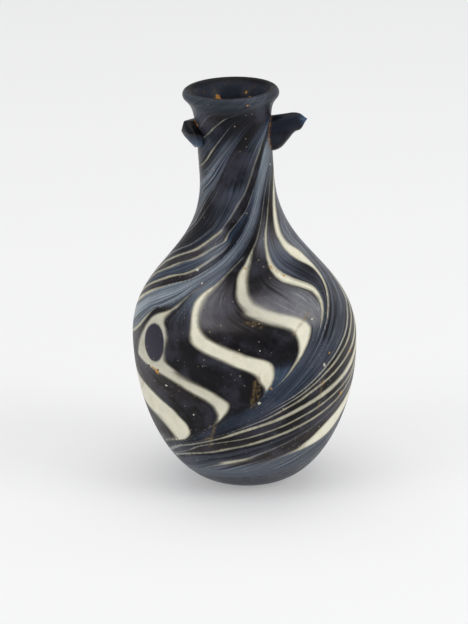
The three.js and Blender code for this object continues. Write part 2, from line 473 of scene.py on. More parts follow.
TRAILS["band_d"] = [
    (18, -28.4, 0.8), (20, -20, 0.8), (22, -12.4, 0.8), (24, -5.8, 0.8), (26, 1, 0.8),
    (28, 6.8, 0.8), (30, 11.2, 0.8), (32, 14.8, 0.8), (33, 16.6, 1), (34, 18.9, 1.4), (35, 21, 2),
    (37, 24.4, 2.3), (38, 26.1, 2.6), (39, 27.7, 3), (40, 29.1, 3.8), (41, 30.3, 4.6), (42, 31.3, 5.9),
    (43, 32.1, 7.5), (44, 32.6, 9.3), (45, 32.9, 11.2), (46, 32.1, 14.3), (47, 28.7, 20),
    (48, 23.9, 26), (48.6, 20.6, 28), (49.3, 17, 28), (50, 12.7, 26), (51, 8.7, 19.6), (52, 4.9, 15.4),
    (53, 2, 12.4), (54, 0.7, 11), (55, 0.3, 10.3), (57, 0.4, 10), (58, 1, 9.9), (59, 2.3, 9.1),
    (60, 4.6, 7.6), (61, 6.9, 6.4), (62, 8.9, 5.1), (63, 11.3, 4), (64, 14, 3), (65, 17.6, 2.4),
    (66.5, 21.8, 2.2), (68.7, 28, 2.2), (70.3, 32.2, 2), (72.5, 37.3, 1.8), (74.5, 42.5, 1.6),
    (76.3, 47.5, 1.5), (78, 52.5, 1.4), (80, 59, 1.2), (84, 80, 1), (90, 122, 1), (93, 138, 1),
    (96, 160, 1), (98, 205, 2), (102, 245, 3),
]  # fmt: skip
TRAILS["band_e"] = [
    (18, -26.9, 0.8), (20, -18.2, 0.8), (22, -10.2, 0.8), (24, -3, 0.8), (26, 4.2, 0.8), (28, 10, 0.8),
    (32, 18.4, 0.8), (36, 26.6, 0.8), (40, 34, 0.8), (42, 38, 0.8), (44, 42.3, 0.9), (46, 46.3, 1.6),
    (47, 48.2, 2.2), (48, 50.1, 2.7), (49, 51.8, 3.1), (50, 53.2, 3.6), (51, 54.1, 4), (52, 54.2, 4.9),
    (53, 53.4, 6.2), (54, 50.1, 9.8), (55, 44.9, 12.4), (56, 38.7, 13.6), (57, 33.8, 12.2),
    (58, 30.5, 10), (59, 28, 7.7), (60, 26.8, 6.3), (61, 26.5, 5.4), (62, 26.7, 4.8), (63, 27.2, 4.5),
    (64, 28, 4.4), (65, 29.2, 4.4), (66.5, 32, 4), (68.2, 36, 3.5), (70, 41, 3), (72, 46, 2.6),
    (73.8, 51, 2.2), (75.8, 56, 2), (77.8, 61, 1.8), (79.7, 66, 1.5), (81, 71, 1.3), (84, 87, 1),
    (90, 140, 1), (93, 156, 1), (96, 175, 1), (98, 220, 2), (102, 260, 3),
]  # fmt: skip
TRAILS["band_f"] = [
    (18, -25.4, 0.8), (20, -16.4, 0.8), (22, -8, 0.8), (24, -0.2, 0.8), (26, 7.4, 0.8), (28, 13.4, 0.8),
    (32, 22.2, 0.8), (36, 30.4, 0.8), (40, 38, 0.8), (42, 42, 0.8), (44, 46, 1.3), (46, 50.7, 1.7),
    (48, 55.3, 2.2), (50, 60.4, 2.9), (52, 65.8, 3.2), (53, 68.2, 3.4), (54, 70.1, 3.7), (55, 71.4, 4.4),
    (56, 71.8, 5.5), (57, 71.3, 7.3), (58, 69.2, 11), (59, 66.3, 15.2), (60, 63.6, 18), (61, 60.8, 19.4),
    (62, 57.6, 18), (63, 54.2, 14.2), (64, 52.4, 12.5), (65, 51.7, 11.8), (66, 51.6, 12), (67, 52.5, 12),
    (68, 53.9, 12.2), (70, 57.8, 12.4), (72, 62.4, 12.2), (74, 68, 13), (76, 74, 12), (78, 80, 10),
    (80, 86, 8), (84, 104, 5), (90, 160, 3), (93, 178, 2), (96, 200, 2), (98, 245, 2), (102, 285, 3),
]  # fmt: skip
print("streams and bands:", len(TRAILS))

# %% Threads that sweep up to the right
TRAILS["sweep_a"] = [
    (18, -24, 0.8), (20, -14.5, 0.8), (22, -5.7, 0.8), (24, 2.8, 0.8), (26, 10.6, 1), (27.5, 16.6, 1.2),
    (29, 23.4, 1.4), (30.5, 29.4, 1.6), (32.1, 35, 1.6), (34, 41, 1.7), (35.6, 46, 1.8),
    (37.5, 52, 1.9), (40.3, 60.5, 2.3), (41.7, 65.3, 2.5), (43.3, 70, 2.5), (45, 75, 3), (46.1, 79, 3.5),
    (47, 83.5, 4), (49, 89, 4), (52, 95, 4), (56, 101, 4), (60, 108, 4), (65, 118, 4), (70, 130, 3),
    (75, 143, 3), (80, 158, 2), (85, 180, 2), (90, 204, 2), (96, 235, 2), (98, 280, 3), (102, 320, 3),
]  # fmt: skip
TRAILS["sweep_b"] = [
    (18, -22.6, 0.8), (20, -12.5, 0.8), (22, -3.3, 0.8), (24, 6, 1), (26, 14.4, 1.2), (27.5, 20.4, 1.6),
    (29, 27, 1.9), (30.5, 32.9, 2), (32.3, 39.6, 2), (33.6, 44.2, 2.2),
    (34.6, 48, 2.5), (35.9, 53, 2.7), (37.4, 58, 2.8), (38.7, 63.4, 3), (40, 68, 3.2), (41.7, 73, 3.4),
    (43.3, 79, 3.6), (44.9, 84.9, 4), (47, 91, 4), (50, 98, 4), (54, 105, 4), (60, 115, 4), (65, 124, 4),
    (70, 137, 3), (75, 151, 3), (80, 168, 2), (85, 194, 2), (90, 222, 2), (96, 252, 2), (98, 300, 3),
    (102, 340, 3),
]  # fmt: skip
TRAILS["sweep_c"] = [
    (18, -21.2, 1), (20, -10.2, 1.2), (21.9, -0.8, 1.4), (22.9, 4.4, 1.8), (23.9, 9.8, 2),
    (24.9, 14.4, 2.1), (26.1, 19.4, 2.3), (27.2, 24.6, 2.5), (28.2, 29.4, 2.8), (29.4, 34, 3),
    (30.4, 38.6, 3.2), (31.5, 44.3, 3.3), (33.2, 53, 3.4), (34.3, 58, 3.5), (35.6, 64.3, 4.2),
    (37.5, 73, 5), (39.2, 78.5, 5), (41.5, 86, 5), (44, 93, 5), (48, 102, 5), (53, 111, 5), (60, 122, 4),
    (65, 131, 4), (70, 144, 3), (75, 160, 3), (80, 178, 2), (85, 210, 2), (90, 242, 2), (96, 270, 2),
    (98, 325, 3), (102, 365, 3),
]  # fmt: skip
TRAILS["sweep_d"] = [
    (0, -302, 8), (5, -162, 8), (8, -82, 7), (10, -65, 5), (11.4, -57, 4), (12.6, -50.5, 3.8),
    (13.8, -44, 3.4), (14.4, -38.5, 3), (15.5, -31.8, 2.8), (16.4, -25.7, 2.7), (17.6, -19, 2.8),
    (18.5, -13.3, 3.2), (19.7, -7.4, 3.8), (20.7, -2, 4.4), (21.7, 4.3, 4.8), (22.6, 10.5, 5),
    (23.5, 16.6, 5), (24.6, 23, 5.4), (25.7, 29.3, 5.8), (26.8, 35.5, 6.5), (27.6, 41.3, 7),
    (28.8, 48, 7.6), (29.9, 54.5, 8), (30.8, 60.3, 8.4), (32.1, 67, 8.6), (33.5, 73, 8.6),
    (35, 79.3, 8.4), (38, 89, 8), (42, 99, 7), (47, 109, 6), (53, 119, 6), (60, 130, 5), (65, 139, 5),
    (70, 153, 4), (75, 170, 3), (80, 190, 2), (85, 226, 2), (90, 262, 2), (96, 295, 2), (98, 350, 3),
    (102, 390, 3),
]  # fmt: skip
TRAILS["sweep_e"] = [
    (0, -292, 2), (5, -152, 2), (8, -73, 2), (10, -56, 1.6), (12, -43.5, 1.5), (13.4, -36.5, 1.6),
    (14.9, -30, 1.8), (15.6, -25.5, 2), (16.5, -19, 2.2), (17.2, -13, 2.4), (17.8, -7.4, 2.6),
    (18.3, -2, 2.7), (19.2, 4.3, 2.8), (20.1, 10.5, 2.8), (21, 16.8, 2.9), (21.9, 22.6, 3),
    (23.1, 29.3, 3.1), (24, 35.2, 3.2), (25, 41.4, 3.3), (26.1, 48, 3.3), (27.1, 54, 3.5),
    (28.1, 60.4, 3.7), (29, 66, 4), (30.3, 73, 4), (33, 83, 4), (37, 94, 4), (42, 105, 4), (48, 116, 4),
    (54, 127, 4), (60, 138, 4), (65, 147, 4), (70, 162, 3), (75, 180, 3), (80, 205, 2), (85, 245, 2),
    (90, 288, 2), (93, 305, 1.8), (94.6, 315, 1.8), (95.9, 325, 1.8), (96.9, 335, 2), (97.2, 350, 2.5),
    (98, 385, 3), (102, 425, 3),
]  # fmt: skip
TRAILS["sweep_f"] = [
    (0, -284, 6), (5, -144, 6), (8, -66, 5), (9.4, -57, 4.4), (10.3, -50.5, 4), (11.1, -44, 4),
    (11.9, -38, 3.8), (12.5, -32, 3.8), (13.2, -25.7, 3.8), (13.9, -19.6, 3.8), (14.9, -13, 4),
    (15.6, -7.4, 4.2), (16.2, -2, 4.4), (17, 4.3, 4.8), (17.9, 10.5, 4.9), (18.8, 16.8, 4.9),
    (19.6, 22.8, 4.8), (20.6, 29.3, 4.6), (21.5, 35.5, 4.4), (22.5, 41.8, 4.2), (23.5, 48, 4),
    (24.6, 54.2, 3.8), (25.6, 59.6, 3.4), (26.7, 65, 3.4), (29, 74, 3.4), (33, 87, 4), (38, 99, 4),
    (44, 112, 4), (50, 124, 4), (56, 137, 4), (60, 147, 4), (65, 157, 4), (70, 173, 3), (75, 196, 3),
    (80, 226, 2), (85, 270, 2.4), (88, 295, 2.6), (90.2, 309.5, 3), (91.4, 320, 3.2), (93, 330, 3.2),
    (94.3, 340, 3), (95.6, 350, 2.8), (96.2, 360, 2.6), (97.4, 382, 2.4), (98.2, 410, 2.6),
    (102, 445, 3),
]  # fmt: skip
TRAILS["low_streak"] = [
    (0, -250, 4), (5, -110, 5), (6.8, -38, 4), (7.6, -32, 4.5), (8.6, -25.5, 5), (9.4, -20, 6),
    (10.1, -15.5, 9), (11, -10, 13), (11.7, -4, 13), (12.2, 0.4, 8), (12.8, 3.8, 4), (13.6, 8, 4),
    (14.4, 13, 3.6), (15.3, 18, 3), (16.2, 23.6, 2.4), (17.1, 28, 2.2), (18.1, 33, 2), (19, 38, 2),
    (20.5, 45, 2), (22, 52, 2), (24, 62, 2), (27, 76, 3), (31, 90, 3), (36, 103, 4), (42, 116, 4),
    (48, 129, 4), (54, 143, 5), (60, 158, 5), (65, 170, 5), (70, 188, 5), (75, 216, 5), (78, 240, 5),
    (80, 258, 6), (81.3, 272, 7), (82, 290, 6.5), (83, 300, 5.5), (84.3, 310, 5), (86.3, 320, 4.2),
    (88.3, 330, 3.6), (90.3, 340, 2.6), (92.3, 350, 2), (94.2, 360, 1.8), (96, 382, 2), (98, 430, 3),
    (102, 470, 3),
]  # fmt: skip
print("with the sweeps:", len(TRAILS))

# %% Bands of the far side, which come round to the front on the neck
TRAILS["back_a"] = [
    (0, -222, 6), (5, -82, 5), (8, -2, 5), (10, 10, 6), (11.5, 19, 7), (12.5, 27, 8), (13.3, 35, 14),
    (14, 41.5, 15), (15, 46.5, 21), (16, 51, 22), (18, 57.5, 23), (20, 63.8, 22), (22, 72, 22),
    (24, 79.5, 20), (26, 86, 16), (29, 95, 12), (33, 105, 9), (38, 118, 8), (43, 126, 10), (46, 130, 16),
    (48, 136, 18), (50, 146, 16), (52, 156, 12), (55, 163, 8), (60, 174, 6), (65, 192, 6), (70, 214, 5),
    (75, 246, 4), (78, 267, 3), (79, 274, 3), (79.7, 290, 3), (80.6, 300, 3), (81.8, 310, 3),
    (82.8, 317, 2.5), (84.2, 325, 2), (87, 340, 1.5), (90, 355, 1), (93, 369, 1), (96, 400, 2),
    (98, 442, 3), (102, 482, 3),
]  # fmt: skip
TRAILS["back_b"] = [
    (0, -202, 2), (5, -62, 2), (8, 18, 2), (12, 42, 1.5), (16, 66, 1.5), (20, 84, 1.5), (24, 100, 2),
    (28, 112, 4), (31, 122, 10), (33, 136, 20), (35, 150, 24), (37, 162, 22), (39, 170, 16),
    (42, 174, 9), (46, 174, 8), (50, 176, 8), (54, 183, 6), (58, 190, 5), (62, 200, 5), (66, 216, 4),
    (70, 240, 4), (74, 262, 3.5), (76.7, 272, 3), (77.2, 280, 3), (77.9, 289.5, 3), (79.2, 300, 3),
    (80.3, 310, 2.5), (83, 325, 2), (87, 346, 1.5), (90, 362, 1), (93, 377, 1), (96, 410, 2),
    (98, 452, 3), (102, 492, 3),
]  # fmt: skip
TRAILS["back_c"] = [
    (0, -190, 2), (5, -50, 2), (8, 30, 2), (12, 56, 1.5), (16, 78, 1.5), (20, 96, 2), (23, 108, 3),
    (26, 121, 6), (29, 140, 14), (32, 166, 20), (34, 182, 18), (36, 190, 12), (40, 196, 8), (48, 202, 8),
    (52, 207, 6), (56, 214, 5), (60, 224, 4), (63, 246, 4), (65, 270, 3.5), (67.5, 285, 3.2),
    (69.5, 290.5, 3), (71, 295, 2.6), (72.6, 300.5, 2.4), (75, 310.5, 2), (76.9, 320, 2), (79.5, 330, 2),
    (83, 342, 1.5), (87, 356, 1), (90, 370, 1), (93, 386, 1), (96, 420, 2), (98, 462, 3), (102, 502, 3),
]  # fmt: skip
TRAILS["back_d"] = [
    (0, -178, 2), (5, -38, 2), (8, 42, 2), (12, 70, 1.5), (16, 92, 2), (20, 112, 4), (23, 128, 8),
    (26, 150, 14), (28, 170, 18), (30, 186, 14), (32, 197, 10), (34, 204, 8), (38, 214, 8), (46, 226, 7),
    (54, 238, 5), (58, 246, 4), (62, 260, 4), (65, 279, 3), (68, 294, 2.5), (71, 305, 2),
    (72.3, 310, 1.8), (74.4, 320, 1.6), (77.3, 330, 1.5), (80.6, 340, 1.3), (83, 347, 1), (87, 363, 1),
    (90, 378, 1), (93, 395, 1), (96, 430, 2), (98, 472, 3), (102, 512, 3),
]  # fmt: skip
TRAILS["back_e"] = [
    (0, -164, 2), (5, -24, 2), (8, 56, 2), (12, 84, 2), (16, 108, 5), (20, 132, 9), (23, 154, 12),
    (26, 176, 12), (29, 194, 10), (32, 206, 9), (35, 216, 8), (40, 226, 8), (45, 237, 7), (50, 247, 6),
    (54, 256, 5), (58, 268, 5), (60.5, 282, 4), (63, 300, 3), (65, 310, 2.4), (66.6, 318, 2),
    (68, 324, 1.8), (69.6, 329, 1.6), (72, 335, 1.4), (75, 342, 1.2), (80, 352, 1), (85, 366, 1),
    (90, 389, 1), (93, 407, 1), (96, 440, 2), (98, 482, 3), (102, 522, 3),
]  # fmt: skip
for at, name in enumerate(BUNDLE):
    inset = at / (len(BUNDLE) - 1)
    low_end = [(up, left + inset * (right - left), BUNDLE_WIDTH) for up, left, right in BUNDLE_EDGES]
    TRAILS[name] = low_end + TRAILS[name]
ORDER = list(TRAILS)
print("trails round the flask:", len(ORDER))

# %% [markdown]
# A trail is not equally strong all along. It is creamy where it is thick and sinks into the dark glass
# where it thins out. A list for each trail gives its strength by height, from 0 to 1; below 0 it is a
# black thread. The glass between two trails also has its tone by height: how light it is, and whether
# it is blue (below 0), slate (0) or brown (above 0), first beside one trail, then beside the next.

# %% Strength of the trails by height
STRENGTH = {
    "stream_a": [
        (50, 0.85), (67, 0.8), (68.3, 0.25), (70, 0.45), (75, 0.5), (79, 0.62), (88, 0.62), (90.5, 0.2),
        (93, 0),
    ],
    "stream_b": [
        (50, 0.85), (60.5, 0.8), (62.5, 0.55), (64.7, 0.55), (66, 0.75), (68, 0.6), (76, 0.4), (79, 0.1),
    ],
    "stream_c": [
        (48, 0.75), (57, 0.75), (59.5, 0.6), (62, 0.35), (65, 0.15), (67, -0.5), (75, -0.5), (78, 0),
    ],
    "stream_d": [(44, 0.9), (51.5, 0.9), (54, 0.65), (57.5, 0.5), (60, 0.1), (62, 0)],
    "hidden_left": [
        (8, 0.2), (12, 0.7), (15, 0.8), (30, 0.85), (40, 0.6), (45, 0.4), (50, 0.35), (53, 0),
    ],
    "band_a": [
        (11, 0), (13, 0.6), (15, 0.9), (20, 0.95), (26, 0.9), (31, 0.8), (40, 0.8), (47, 0.75),
        (48.3, 0.35), (51, 0),
    ],
    "band_b": [
        (19.5, 0), (21, 0.5), (23, 0.85), (25, 0.92), (28, 0.85), (33, 0.78), (36, 0.7), (42, 0.66),
        (46, 0.7), (49, 0.85), (52, 0.8), (56, 0.6), (60, 0.25), (63, 0),
    ],
    "band_c": [
        (31, 0), (32, 0.6), (33.5, 1), (58, 1), (60.5, 0.85), (62, 0.2), (63, -0.6), (75, -0.6), (79, 0),
    ],
    "band_d": [
        (32, 0), (33.5, 0.5), (36, 0.75), (38, 1), (46, 1), (48, 0.85), (51, 0.72), (53, 0.7), (56, 0.78),
        (60, 0.85), (62, 0.95), (64, 0.85), (72, 0.7), (77, 0.5), (81, 0.2), (84, 0),
    ],
    "band_e": [
        (43, 0), (45.5, 0.5), (48, 0.9), (50, 1), (68, 1), (71, 0.85), (76, 0.7), (80, 0.4), (83, 0),
    ],
    "band_f": [(38.5, 0), (42, 0.3), (46, 0.5), (50, 0.85), (53, 1), (80, 1), (86, 0.6), (92, 0)],
    "sweep_a": [(26, 0), (29, 0.35), (33, 0.55), (46, 0.6), (80, 0.5), (90, 0)],
    "sweep_b": [(24, 0), (27, 0.4), (29, 0.6), (33, 0.75), (46, 0.75), (80, 0.5), (90, 0)],
    "sweep_c": [(20.5, 0), (23.5, 0.5), (27, 0.75), (50, 0.82), (80, 0.5), (90, 0)],
    "sweep_d": [(8, 0.3), (12, 0.5), (14, 0.55), (17, 0.75), (20, 0.9), (40, 0.9), (80, 0.6), (90, 0)],
    "sweep_e": [
        (8, 0.1), (13, 0.4), (17, 0.65), (24, 0.78), (60, 0.65), (80, 0.4), (90, 0.1), (93, 0.28),
        (96, 0.28), (97.5, 0),
    ],
    "sweep_f": [
        (7, 0.3), (12, 0.65), (17, 0.75), (26, 0.75), (40, 0.7), (80, 0.3), (88, 0.4), (90, 0.65),
        (94.5, 0.62), (96, 0.3), (97.3, 0),
    ],
    "low_streak": [
        (7, 0.1), (9, 0.35), (10.3, 0.75), (12.2, 0.8), (13, 0.4), (15, 0.28), (20, 0.22), (40, 0.5),
        (78, 0.8), (86, 0.85), (88.5, 0.7), (91, 0.4), (94, 0.15), (96, 0),
    ],
    "back_a": [
        (8, 0), (11, 0.15), (12.7, 0.45), (13.5, 0.9), (15, 1), (24, 1), (60, 0.9), (70, 0.6), (79, 0.25),
        (82.5, 0.22), (84, 0),
    ],
    "back_b": [(8, 0.1), (24, 0.2), (30, 0.8), (50, 0.9), (64, 0.7), (76, 0.45), (81, 0.35), (84, 0.1)],
    "back_c": [
        (8, 0.1), (22, 0.2), (27, 0.8), (50, 0.8), (62, 0.6), (67, 0.55), (71, 0.5), (75, 0.3), (82, 0.2),
        (86, 0),
    ],
    "back_d": [(8, 0.1), (20, 0.2), (24, 0.8), (50, 0.8), (62, 0.4), (70, 0.25), (84, 0.15), (88, 0)],
    "back_e": [(8, 0.1), (16, 0.3), (22, 0.8), (50, 0.8), (58, 0.35), (64, 0.22), (72, 0.1), (76, 0)],
}  # fmt: skip

print("trails with a strength:", len(STRENGTH))

# %% Tone of the glass between the trails
# Height, lightness and warmth beside the trail, then the same beside the next one round the flask.
GLASS = {
    "stream_a": [
        (8, 0.4, 0, 0.4, 0), (50, 0.15, 0.4, 0.15, 0.4), (61, 0.2, 0.35, 0.25, 0.35),
        (64, 0.5, 0.12, 0.6, 0.1), (67, 0.5, 0.15, 0.3, 0.1), (69, 0.15, 0.2, 0.06, 0),
        (72, 0.03, 0, 0.03, 0), (86, 0.04, 0, 0.1, -0.3), (91, 0.25, -0.3, 0.3, -0.2),
        (97, 0.2, 0, 0.2, 0),
    ],
    "stream_b": [
        (8, 0.4, 0, 0.4, 0), (50, 0.35, -0.55, 0.35, -0.5), (59, 0.4, -0.6, 0.45, -0.4),
        (62, 0.6, 0.05, 0.62, 0), (64.3, 0.62, 0.1, 0.45, -0.2), (66, 0.25, -0.9, 0.2, -0.9),
        (72, 0.2, -0.8, 0.22, -0.7), (77, 0.35, -0.4, 0.45, -0.3), (84, 0.6, -0.1, 0.6, 0),
        (92, 0.4, 0, 0.4, 0),
    ],
    "stream_c": [
        (8, 0.3, 0, 0.4, 0), (45, 0.12, 0.3, 0.14, 0.3), (56, 0.16, 0.2, 0.22, 0.1),
        (60, 0.4, 0.1, 0.45, 0), (64, 0.12, -0.2, 0.15, -0.3), (70, 0.1, -0.3, 0.25, -0.3),
        (76, 0.5, -0.3, 0.62, -0.15), (84, 0.65, -0.1, 0.65, -0.05), (92, 0.45, 0, 0.4, 0),
    ],
    "stream_d": [
        (8, 0.4, 0, 0.4, 0), (42, 0.8, -0.1, 0.78, -0.1), (50, 0.84, -0.15, 0.82, -0.12),
        (56, 0.78, -0.12, 0.78, -0.1), (64, 0.6, -0.3, 0.62, -0.2), (70, 0.56, -0.2, 0.6, -0.12),
        (80, 0.68, -0.1, 0.68, -0.05), (90, 0.45, 0, 0.4, 0),
    ],
    "hidden_left": [
        (8, 0.4, 0.1, 0.4, 0.1), (13, 0.6, 0.3, 0.6, 0.3), (15.5, 0.2, 0.5, 0.08, 0.5),
        (19.5, 0.15, 0.5, 0.1, 0.5), (22, 0.5, 0.4, 0.5, 0.4), (32, 0.5, 0.3, 0.5, 0.35),
        (38, 0.6, 0, 0.6, 0.1), (44, 0.82, -0.05, 0.78, -0.1), (50, 0.82, -0.15, 0.78, -0.12),
        (58, 0.74, -0.1, 0.74, -0.1), (68, 0.6, -0.15, 0.62, -0.1), (80, 0.68, -0.05, 0.6, 0),
        (90, 0.4, 0, 0.35, 0),
    ],
    "band_a": [
        (12, 0.2, 0, 0.2, 0), (17, 0.06, 0, 0.06, 0), (26, 0.08, 0.3, 0.06, 0.2),
        (30, 0.25, 0.6, 0.1, 0.3), (35, 0.42, 0.45, 0.35, 0.45), (40, 0.35, 0.45, 0.2, 0.5),
        (45, 0.12, 0.3, 0.08, 0.2), (48.5, 0.1, 0.2, 0.1, 0.2), (50, 0.45, 0, 0.45, 0),
        (56, 0.62, -0.05, 0.6, -0.05), (64, 0.6, -0.2, 0.6, -0.2), (74, 0.6, -0.1, 0.5, -0.1),
        (84, 0.5, 0, 0.4, 0), (92, 0.35, 0, 0.3, 0),
    ],
    "band_b": [
        (18, 0.1, -0.3, 0.12, -0.5), (23, 0.1, -0.2, 0.2, -0.7), (27, 0.05, 0, 0.1, -0.3),
        (31, 0.04, 0, 0.05, 0), (38, 0.12, 0, 0.08, 0), (42, 0.16, 0.1, 0.12, 0.1),
        (45, 0.2, 0.1, 0.25, 0.05), (48, 0.26, 0.05, 0.42, -0.1), (52, 0.36, -0.05, 0.6, -0.3),
        (55, 0.6, -0.1, 0.66, -0.2), (58, 0.62, -0.15, 0.5, -0.3), (61, 0.4, -0.4, 0.1, -0.3),
        (66, 0.45, -0.2, 0.06, 0), (76, 0.4, -0.1, 0.1, 0), (84, 0.4, 0, 0.4, 0),
    ],
    "band_c": [
        (20, 0.22, -0.7, 0.22, -0.7), (29, 0.2, -0.6, 0.25, -0.8), (32, 0.3, -0.9, 0.4, -1),
        (36.5, 0.4, -1, 0.42, -1), (38.5, 0.08, -0.4, 0.15, -0.5), (41, 0.03, 0, 0.03, 0),
        (45, 0.1, 0.2, 0.03, 0), (48, 0.55, 0.45, 0.08, 0.2), (52, 0.6, 0.4, 0.3, 0.3),
        (55, 0.5, 0.35, 0.25, 0.2), (58.5, 0.12, 0, 0.06, 0), (63, 0.04, 0, 0.03, 0),
        (70, 0.05, 0, 0.05, 0), (76, 0.3, 0, 0.35, -0.2), (84, 0.5, 0, 0.4, 0),
    ],
    "band_d": [
        (20, 0.2, -0.7, 0.2, -0.7), (29, 0.28, -0.8, 0.28, -0.8), (36, 0.32, -0.75, 0.32, -0.75),
        (41, 0.32, -0.4, 0.32, -0.4), (45, 0.42, -0.05, 0.42, 0), (47.5, 0.72, 0.5, 0.62, 0.4),
        (50, 0.7, 0.42, 0.68, 0.38), (53, 0.56, 0.4, 0.66, 0.35), (55.5, 0.12, 0.1, 0.5, 0.25),
        (58, 0.03, 0, 0.25, 0.1), (60, 0.04, 0, 0.2, 0), (62.5, 0.2, 0.3, 0.45, 0.1),
        (65, 0.5, 0.2, 0.6, 0.1), (69, 0.35, 0.1, 0.3, 0.1), (74, 0.12, 0, 0.15, -0.1),
        (80, 0.3, 0, 0.4, -0.2), (86, 0.4, 0, 0.4, 0),
    ],
    "band_e": [
        (20, 0.2, -0.7, 0.2, -0.7), (30, 0.3, -0.8, 0.3, -0.8), (40, 0.32, -0.5, 0.32, -0.5),
        (46, 0.42, -0.3, 0.46, -0.2), (50, 0.42, -0.2, 0.42, 0), (54, 0.35, -0.1, 0.3, 0),
        (57, 0.4, -0.2, 0.2, 0), (60, 0.48, -0.2, 0.45, -0.1), (63, 0.5, 0.1, 0.7, 0.1),
        (66, 0.42, 0.25, 0.45, 0.3), (70, 0.1, 0.3, 0.12, 0.4), (78, 0.08, 0.3, 0.2, 0.4),
        (86, 0.4, 0, 0.4, 0),
    ],
    "band_f": [
        (18, 0.15, -0.5, 0.15, -0.4), (22, 0.28, -0.75, 0.24, -0.7), (28, 0.34, -0.8, 0.32, -0.7),
        (34, 0.38, -0.6, 0.36, -0.5), (40, 0.42, -0.35, 0.42, -0.3), (46, 0.44, 0, 0.46, 0.05),
        (52, 0.5, 0.1, 0.5, 0.15), (58, 0.56, 0.15, 0.56, 0.15), (64, 0.6, 0.15, 0.6, 0.15),
        (70, 0.5, 0.2, 0.6, 0.1), (90, 0.4, 0, 0.4, 0),
    ],
    "sweep_a": [
        (16, 0.1, -0.3, 0.1, -0.3), (24, 0.25, -0.6, 0.2, -0.5), (30, 0.12, -0.1, 0.1, 0),
        (46, 0.12, 0.1, 0.12, 0.1), (70, 0.4, 0, 0.4, 0),
    ],
    "sweep_b": [
        (16, 0.1, -0.3, 0.1, -0.3), (24, 0.15, -0.4, 0.15, -0.3), (30, 0.08, 0.3, 0.06, 0.3),
        (46, 0.15, 0.4, 0.1, 0.4), (70, 0.4, 0, 0.4, 0),
    ],
    "sweep_c": [
        (14, 0.12, -0.2, 0.12, -0.2), (20, 0.08, 0, 0.06, 0), (28, 0.04, 0.2, 0.05, 0.3),
        (46, 0.1, 0.3, 0.1, 0.3), (70, 0.4, 0, 0.4, 0),
    ],
    "sweep_d": [
        (8, 0.4, -0.1, 0.36, 0), (14, 0.36, -0.1, 0.24, 0), (18, 0.06, 0, 0.08, 0.3),
        (30, 0.04, 0.2, 0.05, 0.2), (46, 0.1, 0.2, 0.2, 0.2), (70, 0.4, 0, 0.4, 0),
    ],
    "sweep_e": [
        (8, 0.3, 0, 0.3, 0), (14, 0.12, 0.4, 0.15, 0.4), (20, 0.05, 0.2, 0.08, 0.4),
        (30, 0.06, 0.3, 0.1, 0.4), (70, 0.3, 0, 0.3, 0), (88, 0.15, -0.1, 0.15, -0.3),
        (93, 0.15, 0.3, 0.12, 0), (97, 0.15, 0.4, 0.1, 0.3),
    ],
    "sweep_f": [
        (7, 0.45, -0.1, 0.45, -0.1), (12, 0.36, -0.15, 0.36, -0.1), (17, 0.3, -0.15, 0.26, 0),
        (24, 0.35, 0, 0.3, 0.2), (60, 0.3, 0, 0.3, 0), (84, 0.25, 0.1, 0.2, 0),
        (89, 0.2, -0.5, 0.2, -0.4), (94, 0.15, -0.4, 0.22, -0.4), (97, 0.12, 0.2, 0.12, 0.2),
    ],
    "low_streak": [
        (5, 0.66, -0.1, 0.66, -0.1), (9, 0.5, 0.05, 0.62, -0.1), (12, 0.12, 0.7, 0.3, 0.3),
        (15, 0.1, 0.7, 0.06, 0.6), (18, 0.22, 0.4, 0.06, 0.6), (22, 0.35, 0.1, 0.2, 0.3),
        (40, 0.4, 0, 0.4, 0), (79, 0.2, 0.1, 0.25, 0), (84, 0.14, 0, 0.35, -0.1),
        (88, 0.12, -0.3, 0.4, -0.2), (95, 0.15, -0.3, 0.15, 0),
    ],
    "back_a": [
        (4, 0.66, -0.1, 0.66, -0.1), (12, 0.62, -0.12, 0.6, -0.12), (30, 0.3, 0, 0.3, 0),
        (60, 0.2, 0, 0.3, 0), (78, 0.3, 0, 0.4, 0), (83, 0.4, -0.15, 0.5, -0.15),
        (90, 0.35, -0.2, 0.35, -0.2), (96, 0.1, 0, 0.1, 0),
    ],
    "back_b": [
        (4, 0.64, -0.1, 0.62, -0.1), (14, 0.54, -0.15, 0.46, -0.1), (30, 0.2, 0, 0.2, 0),
        (60, 0.2, 0, 0.4, 0), (72, 0.55, -0.05, 0.4, 0.1), (78, 0.62, -0.15, 0.45, -0.15),
        (84, 0.55, -0.2, 0.4, -0.3), (90, 0.4, -0.35, 0.3, -0.3), (96, 0.12, 0, 0.1, 0),
    ],
    "back_c": [
        (4, 0.6, -0.1, 0.58, -0.1), (14, 0.4, -0.1, 0.4, -0.1), (30, 0.1, 0, 0.1, 0),
        (60, 0.3, 0, 0.2, 0.1), (72, 0.1, 0.1, 0.14, 0), (80, 0.14, -0.1, 0.12, 0), (86, 0.1, 0, 0.08, 0),
        (92, 0.12, 0, 0.12, 0),
    ],
    "back_d": [
        (4, 0.56, -0.1, 0.54, -0.1), (14, 0.4, 0, 0.4, 0), (30, 0.1, 0, 0.2, 0), (60, 0.2, 0, 0.25, 0),
        (70, 0.16, 0, 0.2, -0.2), (76, 0.12, 0, 0.2, -0.2), (84, 0.06, 0, 0.06, 0), (92, 0.15, 0, 0.2, 0),
    ],
    "back_e": [
        (4, 0.52, -0.1, 0.5, -0.1), (20, 0.3, 0, 0.3, 0), (40, 0.3, 0, 0.3, 0),
        (56, 0.35, 0.15, 0.32, 0.15), (61, 0.26, -0.1, 0.25, 0), (65, 0.42, -0.4, 0.3, -0.1),
        (69, 0.35, -0.5, 0.3, -0.3), (74, 0.2, -0.3, 0.25, -0.3), (77, 0.3, -0.45, 0.25, -0.3),
